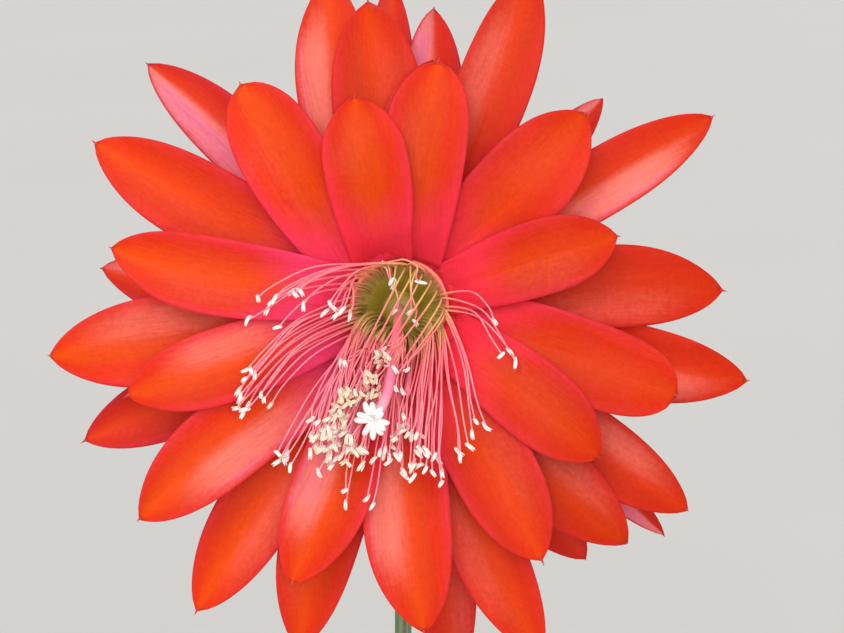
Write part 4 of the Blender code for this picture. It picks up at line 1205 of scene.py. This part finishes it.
def add_tepal(bundle, dense, tepal, habit):
    """A thin closed blade over a tepal's surface, thicker along the middle of its root."""
    grid = true_size(dense[::ROW_STRIDE, ::COLUMN_STRIDE])
    share, across = ROW_PLACES[::ROW_STRIDE, None], COLUMN_PLACES[None, ::COLUMN_STRIDE]
    points, faces = blade(grid, BLADE_EDGE + BLADE_ROOT * (1 - share) ** 1.5 * (1 - across ** 2))
    share, across = (part.ravel() for part in np.broadcast_arrays(share, across))
    middle = grid[:, grid.shape[1] // 2]
    length = np.linalg.norm(middle[-1] - middle[0])
    seed = (tepal.tip[0] * 0.37 + tepal.tip[1] * 0.61) % 1.0
    half = half_width(tepal, share, 0.5)
    flow = np.stack([across * half, share * length * 0.07, np.full(len(share), seed * 60)], axis=1)
    # The pale mask is a painted highlight on one half of the tepal, fading near the root and the tip
    half_way = across * np.sign(tepal.pale)
    pale = smooth_step((half_way + 0.2) / 0.55) * smooth_step((1.1 - half_way) / 0.5)
    pale = pale * smooth_step((share - 0.12) / 0.3) * smooth_step((habit.pale_end - share) / 0.3)
    # Painted light on the bases that face the lower left, strongest near the root
    toward_light = max(math.cos(math.radians(tepal.root - LIT_BASE_BEARING)), 0.0)
    # The ring's deep colour at random strength, plus painted shade that grows to the right, away from the
    # light
    deep = min(max(habit.deep * (0.6 + 0.6 * seed) + tepal.tip[0] / 190, 0.0), 1.0)
    notes = {"along": share, "across": across, "pale": pale * abs(tepal.pale), "flow": flow,
             "rosy": toward_light * smooth_step((0.62 - share) / 0.4)}
    notes = {name: np.concatenate([values, values]) for name, values in notes.items()}
    bundle.add(to_world(points), faces, deep=deep, back=np.repeat([0.0, 1.0], len(share)), **notes)
    add_point(bundle, middle[-1], middle[-1] - middle[-4], seed)


def add_point(bundle, tip, ahead, seed):
    """The short hair-like point at a tepal's tip."""
    ahead = unit(ahead)
    reach = 1.1 + 0.9 * (seed * 7 % 1)
    curl = np.array((math.sin(seed * 40), math.cos(seed * 40), 1.0)) * 0.35
    steps, radii = zip(*POINT_SHAPE)
    rings = sweep([tip + ahead * (s * reach - 0.6) + curl * s * s for s in steps], radii, 6, ASLANT)
    # The point carries a little of the painted highlight
    add_rings(bundle, rings, to_world, along=0.9, across=1.0, pale=0.4, back=0.5,
              flow=np.tile((0, 0, seed), (rings.shape[0] * rings.shape[1], 1)))


def add_collar(bundle, back, front, thickness):
    """The smooth ring round the funnel that the tepals grow from."""
    rings = []
    for turn in turns(RING_STEPS):
        depth = (back + front) / 2 + (front - back) / 2 * math.cos(turn)
        radius = funnel_radius(depth) + 0.25 + thickness * (0.5 + 0.5 * math.sin(turn))
        rings.append([(radius * math.cos(a), radius * math.sin(a), depth) for a in turns(RING_SIDES)])
    rings = np.array(rings)
    behind = smooth_step((front - 1.2 - rings[..., 2].ravel()) / 2.0)
    add_rings(bundle, rings, to_world, looped=True, back=behind, flow=rings.reshape(-1, 3) * 0.5)


def place_tepals(bundle, tepals, habit, relief, rng):
    """Lay the tepals one over another."""
    for tepal in tepals:
        dense = lay_over(tepal_surface(tepal, habit, rng), relief)
        relief.add(dense)
        add_tepal(bundle, dense, tepal, habit)


def make_tepals():
    """The sepals and the petals, and the relief of the whole."""
    rng = random.Random(SEED)
    relief = Relief()
    sepals, petals = Bundle(*TEPAL_NOTES), Bundle(*TEPAL_NOTES)
    place_tepals(sepals, SEPALS, SEPAL_HABIT, relief, rng)
    add_collar(sepals, *SEPAL_RING)
    shift = SEPAL_TO_PETAL - CLEARANCE
    relief.front = np.where(relief.front > Relief.NOTHING, relief.front + shift, relief.front)
    place_tepals(petals, MIDDLE_PETALS, MIDDLE_HABIT, relief, rng)
    place_tepals(petals, INNER_PETALS, INNER_HABIT, relief, rng)
    add_collar(petals, *PETAL_RING)
    sepals.piece("sepal_blades", tepal_look("sepal flesh", *SEPAL_COLOURS), "sepal", "sepals")
    petals.piece("petal_blades", tepal_look("petal flesh", *PETAL_COLOURS), "petal", "petals")
    return relief


# Tube and throat

def funnel_radius(depth):
    depths, radii = zip(*FUNNEL)
    return float(np.interp(depth, depths, radii))


def tube_route():
    """The tube's middle line from the areole to the back of the funnel, in mm."""
    start, growth = areole()
    foot = Vector(to_bloom(start + growth * SEAT_GAP))
    heading = Vector(np.array(growth) @ BLOOM_TURN)
    end = Vector((0.0, 0.0, FUNNEL[0][0]))
    reach = 0.42 * (end - foot).length
    start = foot + heading * 1.5
    curve = interpolate_bezier(start, start + heading * reach, end - Vector((0, 0, reach)), end, 70)
    return np.array([foot, *curve])


def tube_radius(share):
    """Radius of the tube in mm: a swollen ovary at the foot, then a slender tube."""
    near = np.clip(np.linspace(share - 0.05, share + 0.05, 9), 0, 1)
    return float(np.interp(near, *zip(*TUBE)).mean())


def make_tube(look):
    """Ovary, tube and funnel with a ribbed lining, as one closed skin."""
    route = tube_route()
    round_about = turns(TUBE_SIDES)
    outer = sweep(route, 1.0, TUBE_SIDES)
    smooth = np.zeros(TUBE_SIDES)
    wave = 0.5 + 0.5 * np.cos(FUNNEL_RIBS * round_about)
    skin = []
    for ring, centre, share in zip(outer, route, np.linspace(0, 1, len(route))):
        strong = 0.045 * math.sin(math.pi * min(share * 1.6, 1.0))
        ridge = 1 + strong * np.cos(TUBE_RIDGES * round_about + 5 * share)
        ring = centre + (ring - centre) * (tube_radius(share) * ridge)[:, None]
        skin.append((ring, TUBE_SHARE * share, 0.0, smooth))
    across, side = outer[-1][0] - route[-1], outer[-1][TUBE_SIDES // 4] - route[-1]
    circle = np.outer(np.cos(round_about), across) + np.outer(np.sin(round_about), side)
    back = FUNNEL[0][0]
    for depth in np.linspace(back + 1, -LIP_HEIGHT, 34):
        ring = circle * funnel_radius(depth) + np.array((0, 0, depth))
        skin.append((ring, TUBE_SHARE + (1 - TUBE_SHARE) * (1 - depth / back), 0.0, smooth))
    for turn in np.linspace(0.2, math.pi - 0.2, 6):
        radius = funnel_radius(0) - FUNNEL_WALL / 2 + FUNNEL_WALL / 2 * math.cos(turn)
        frayed = (0.5 + 0.35 * (wave - 0.5) * (turn > 1)) * math.sin(turn) - 0.3
        skin.append((circle * radius + np.outer(frayed, (0, 0, 1)), 1.0, 0.02 + 0.01 * turn, wave))
    for depth in np.linspace(-LIP_HEIGHT, FUNNEL_FLOOR, 40):
        radius = funnel_radius(depth) - FUNNEL_WALL - 0.32 * wave * min(-depth / 2, 1)
        ring = circle * radius[:, None] + np.array((0, 0, depth))
        skin.append((ring, 1.0, 0.04 + 0.96 * depth / FUNNEL_FLOOR, wave))
    for radius in (3.0, 1.6):
        skin.append((circle * radius + np.array((0, 0, FUNNEL_FLOOR - 0.4)), 1.0, 1.0, smooth))
    rings, along, inside, rib = (np.array(part) for part in zip(*skin))
    bundle = Bundle("along", "inside", "rib", "scale")
    add_rings(bundle, rings, to_world, along=along, inside=inside, rib=rib.ravel())
    for bract in BRACTS:
        add_bract(bundle, route, *bract)
    bundle.piece("floral_tube", look, "tube", "bloom_tube")


def add_bract(bundle, route, share, around, length, width):
    """A small pointed scale that clasps the tube and points along it."""
    i = min(int(share * (len(route) - 1)), len(route) - 2)
    ahead = unit(route[i + 1] - route[i])
    across = np.array((1.0, 0.0, 0.0))
    across = unit(across - ahead * across.dot(ahead))
    angle = math.radians(around)
    out = across * math.cos(angle) + np.cross(ahead, across) * math.sin(angle)
    foot = route[i] + out * (tube_radius(share) - 0.7)
    along = np.linspace(0, 1, BRACT_ROWS)[:, None, None]
    part = np.linspace(-1, 1, BRACT_COLUMNS)[None, :, None]
    lift = np.radians(26 - 12 * along)
    run = ahead * np.cos(lift) + out * np.sin(lift)
    half = 0.5 * width * (0.7 + 0.4 * np.sin(along * 2.6)) * np.sqrt(np.maximum(1 - along ** 1.7, 0.0004))
    bow = -0.22 * width * part * part * (1 - 0.6 * along)
    grid = foot + run * length * along + np.cross(ahead, out) * half * part + out * bow
    points, faces = blade(grid, BRACT_THICKNESS)
    scale = np.tile(np.repeat(0.25 + 0.75 * along.ravel(), BRACT_COLUMNS), 2)
    bundle.add(to_world(points), faces, along=TUBE_SHARE * share, scale=scale)


# Stamens and style

def smooth_route(points, count):
    """A smooth curve through the points."""
    points = [np.array(p, float) for p in points]
    points = [2 * points[0] - points[1]] + points + [2 * points[-1] - points[-2]]
    route = []
    spans = len(points) - 3
    for place in np.linspace(0, spans, count):
        k = min(int(place), spans - 1)
        t = place - k
        a, b, c, d = points[k:k + 4]
        route.append(0.5 * ((2 * b) + (c - a) * t + (2 * a - 5 * b + 4 * c - d) * t * t
                            + (3 * b - a - 3 * c + d) * t * t * t))
    return np.array(route)


def clear_of_style(point, style):
    """Keep a filament's point off the style: before it near the throat, beside it further down."""
    room = STYLE_RADIUS + FILAMENT_RADIUS + STYLE_ROOM
    away = np.linalg.norm(style - point, axis=1)
    nearest = style[away.argmin()]
    beside = point[0] - nearest[0]
    if point[1] > CURTAIN_END:
        level = np.interp(-point[1], -style[:, 1], style[:, 2])
        return point + np.array((0, 0, max(level + room - point[2], 0.0))) if abs(beside) < room else point
    if away.min() < room:
        return np.array((nearest[0] + math.copysign(room, beside), point[1], point[2]))
    return point


def filament_route(tip, group, place, rng, relief, style):
    """One filament from the throat's wall to its anther, in mm. Its place in the fan is -1 to 1."""
    bearing = math.radians(group.bearing + group.fan * place + rng.uniform(-4, 4))
    outward = np.array((math.cos(bearing), math.sin(bearing), 0.0))
    lip = rng.uniform(*group.lip)
    deep = -6.5 - 1.1 * lip
    wall = [outward * (funnel_radius(d) - FUNNEL_WALL - 0.45 - inset) + np.array((0, 0, d))
            for d, inset in ((deep, 0.12 * lip), (0.45 * deep, 0.3 * lip))]
    mouth = outward * (funnel_radius(0) - FUNNEL_WALL + 0.5)
    mouth = np.array((mouth[0] * (1 - 0.02 * lip), mouth[1] - 0.55 * lip * outward[1], 2.2 + 0.35 * lip))
    tip = np.array((*tip, group.forward + rng.uniform(-3.0, 2.5)))
    aside = (rng.uniform(-1, 1), group.bulge + rng.uniform(-0.8, 0.8), 3.0)
    middle = mouth + (tip - mouth) * 0.5 + np.array(aside)
    late = mouth + (tip - mouth) * 0.84 + np.array((rng.uniform(-1.1, 1.1), 0.5 * group.bulge, 1.4))
    route = smooth_route((*wall, mouth, middle, late, tip), FILAMENT_STEPS)
    for i in range(5, len(route)):
        if i > 8:
            behind = float(relief.read(route[i, 0], route[i, 1]))
            route[i, 2] = max(route[i, 2], behind + FILAMENT_ROOM)
        route[i] = clear_of_style(route[i], style)
    for start, end, rounds in ((4, 16, 6), (7, len(route) - 1, 2)):
        for _ in range(rounds):
            before, after = route[start - 1:end - 1], route[start + 1:end + 1]
            route[start:end] = (before + 2 * route[start:end] + after) / 4
    return route


def filament_tone(route, lengths):
    """How pink a filament is along its route, from 0 for green-tan to 1 for its pale end."""
    from_axis = np.hypot(route[:, 0], route[:, 1])
    return np.max((
        np.interp(lengths - lengths[AT_RIM], *TONE_PAST_RIM),
        np.interp(from_axis, *TONE_FROM_AXIS),
        np.interp(lengths - lengths[-1], *TONE_TO_TIP),
        np.interp(route[:, 2], *TONE_FORWARD),
    ), axis=0)


def add_anther(bundle, tip, ahead, rng, cream):
    """Two slender pollen sacs side by side, held near their middle."""
    aim = ahead * 0.7 + np.array((rng.uniform(-1.1, 1.1), rng.uniform(-0.9, 0.3), rng.uniform(-0.1, 0.6)))
    aim = unit(aim)
    side = unit(np.cross(aim, (rng.uniform(-0.4, 0.4), 0.3, 1.0)))
    through = np.cross(aim, side)
    reach = ANTHER_LENGTH * rng.uniform(*ANTHER_VARIES)
    bow = rng.uniform(-1.1, 1.1)
    splay = rng.uniform(0.0, 0.22)
    steps, girth = np.array(ANTHER_SHAPE).T
    for sign in (-1, 1):
        apart = 0.18 - 0.08 * (2 * steps - 1) ** 2 + splay * steps * steps
        route = (tip + np.outer(reach * (steps - ANTHER_HOLD), aim) + np.outer(sign * apart, side)
                 + np.outer(bow * np.sin(steps * math.pi), through))
        rings = sweep(route, ANTHER_LOBE_RADIUS * girth, ANTHER_SIDES, ASLANT)
        add_rings(bundle, rings, to_world, cream=cream + rng.uniform(-0.1, 0.1))


def crowd_tips(crowd, rng):
    """Places drawn evenly from a crowd's ellipse, clear of the stigma."""
    tips = []
    while len(tips) < crowd.count:
        turn, reach = rng.uniform(0, 2 * math.pi), math.sqrt(rng.random())
        tip = (crowd.middle[0] + crowd.spread[0] * reach * math.cos(turn),
               crowd.middle[1] + crowd.spread[1] * reach * math.sin(turn))
        if math.dist(tip, STIGMA_CENTRE) > STIGMA_RADIUS + 0.6:
            tips.append(tip)
    return tips


def in_order(tips):
    """The tips of a group by their bearing, each with its place in the fan from -1 to 1."""
    tips = sorted(tips, key=lambda tip: math.atan2(tip[1], tip[0]) % (2 * math.pi))
    last = max(len(tips) - 1, 1)
    return [(tip, 2 * i / last - 1 if len(tips) > 1 else 0.0) for i, tip in enumerate(tips)]


def make_stamens(relief):
    rng = random.Random(SEED + 1)
    style = smooth_route(STYLE_ROUTE, 60)
    filaments, anthers = Bundle("along"), Bundle("cream")
    groups = [(spray.tips, spray) for spray in SPRAYS]
    groups += [(crowd_tips(crowd, rng), crowd) for crowd in CROWDS]
    for tips, group in groups:
        for tip, place in in_order(tips):
            route = filament_route(tip, group, place, rng, relief, style)
            lengths = np.concatenate([[0], np.cumsum(np.linalg.norm(np.diff(route, axis=0), axis=1))])
            radii = FILAMENT_RADIUS * (1.0 - 0.32 * lengths / lengths[-1])
            rings = sweep(route, radii, FILAMENT_SIDES, ASLANT)
            add_rings(filaments, rings, to_world, along=filament_tone(route, lengths))
            add_anther(anthers, route[-1], unit(route[-1] - route[-2]), rng, group.cream)
    filaments.piece("filaments", filament_look(), "stamen", "stamens")
    anthers.piece("anthers", anther_look(), "stamen", "stamens")


def make_style(look):
    """The pink style and its white star of recurved stigma lobes."""
    rng = random.Random(SEED + 2)
    route = smooth_route(STYLE_ROUTE, 50)
    shares = np.linspace(0, 1, 50)
    swollen = 0.4 * smooth_step((shares - 0.88) / 0.12)
    radii = STYLE_RADIUS * (0.72 + 0.28 * smooth_step(shares / 0.6) + swollen)
    bundle = Bundle("along")
    add_rings(bundle, sweep(route, radii, 20), to_world, along=0.84 * shares)
    ahead = unit(np.array(STIGMA_FACING))
    side = unit(np.cross(ahead, (1.0, 0.0, 0.0)))
    across = np.cross(side, ahead)
    foot = route[-1] - ahead * 0.9
    steps = np.linspace(0, 1, 12)
    width = (0.66 + 0.16 * np.sin(steps * 3.0)) * np.sqrt(np.maximum(1 - steps ** 8, 0.08))
    for k in range(STIGMA_LOBES):
        angle = 2 * math.pi * (k + rng.uniform(-0.3, 0.3)) / STIGMA_LOBES
        out = across * math.cos(angle) + side * math.sin(angle)
        reach = STIGMA_RADIUS * (1 - 0.16 * math.cos(angle)) * rng.uniform(0.84, 1.12)
        curl = rng.uniform(*STIGMA_CURL)
        lobe = [foot + out * reach * (s - 0.12 * s ** 3) + ahead * (STIGMA_RISE * s - curl * s * s)
                for s in steps]
        add_rings(bundle, sweep(lobe, width, 12, ahead), to_world, along=0.87 + 0.13 * np.sqrt(steps))
    bundle.piece("style_and_stigma", look, "style", "style")


# Stage

def make_stage():
    bpy.ops.mesh.primitive_plane_add(size=FLOOR_SIZE, location=FLOOR_MIDDLE)
    floor = bpy.context.object
    floor.name = "floor"
    floor.data.materials.append(floor_look())
    world = bpy.data.worlds.new("studio")
    bpy.context.scene.world = world
    world.use_nodes = True
    sky = world.node_tree.nodes["Background"].inputs
    sky["Color"].default_value = SKY_COLOUR
    sky["Strength"].default_value = SKY_STRENGTH
    for name, source, spread, strength in LIGHTS:
        lamp = bpy.data.lights.new(name, "SUN")
        lamp.angle = math.radians(spread)
        lamp.energy = strength
        linked(name, lamp).rotation_euler = (-Vector(source)).to_track_quat("-Z", "Y").to_euler()


def make_camera():
    """The photo's view: along the bloom's axis."""
    lens = bpy.data.cameras.new("camera")
    lens.sensor_width = SENSOR_WIDTH
    lens.lens = SENSOR_WIDTH * VIEW_DISTANCE / VIEW_WIDTH
    camera = linked("camera", lens)
    camera.location = tuple(to_world((*VIEW_MIDDLE, VIEW_DISTANCE)))
    camera.rotation_euler = (math.pi / 2 - BLOOM_TILT, 0.0, 0.0)
    bpy.context.scene.camera = camera
    bpy.context.scene.view_settings.view_transform = "Standard"


def main():
    make_camera()
    make_stage()
    make_pot(clay_look())
    make_soil(mix_look())
    make_bark(bark_look())
    make_perlite(perlite_look())
    make_fibres(fibre_look())
    green = stem_look()
    for name, stem in STEMS.items():
        make_stem(name, stem, green)
    make_areoles(felt_look())
    relief = make_tepals()
    make_tube(tube_look())
    make_stamens(relief)
    make_style(style_look())


main()
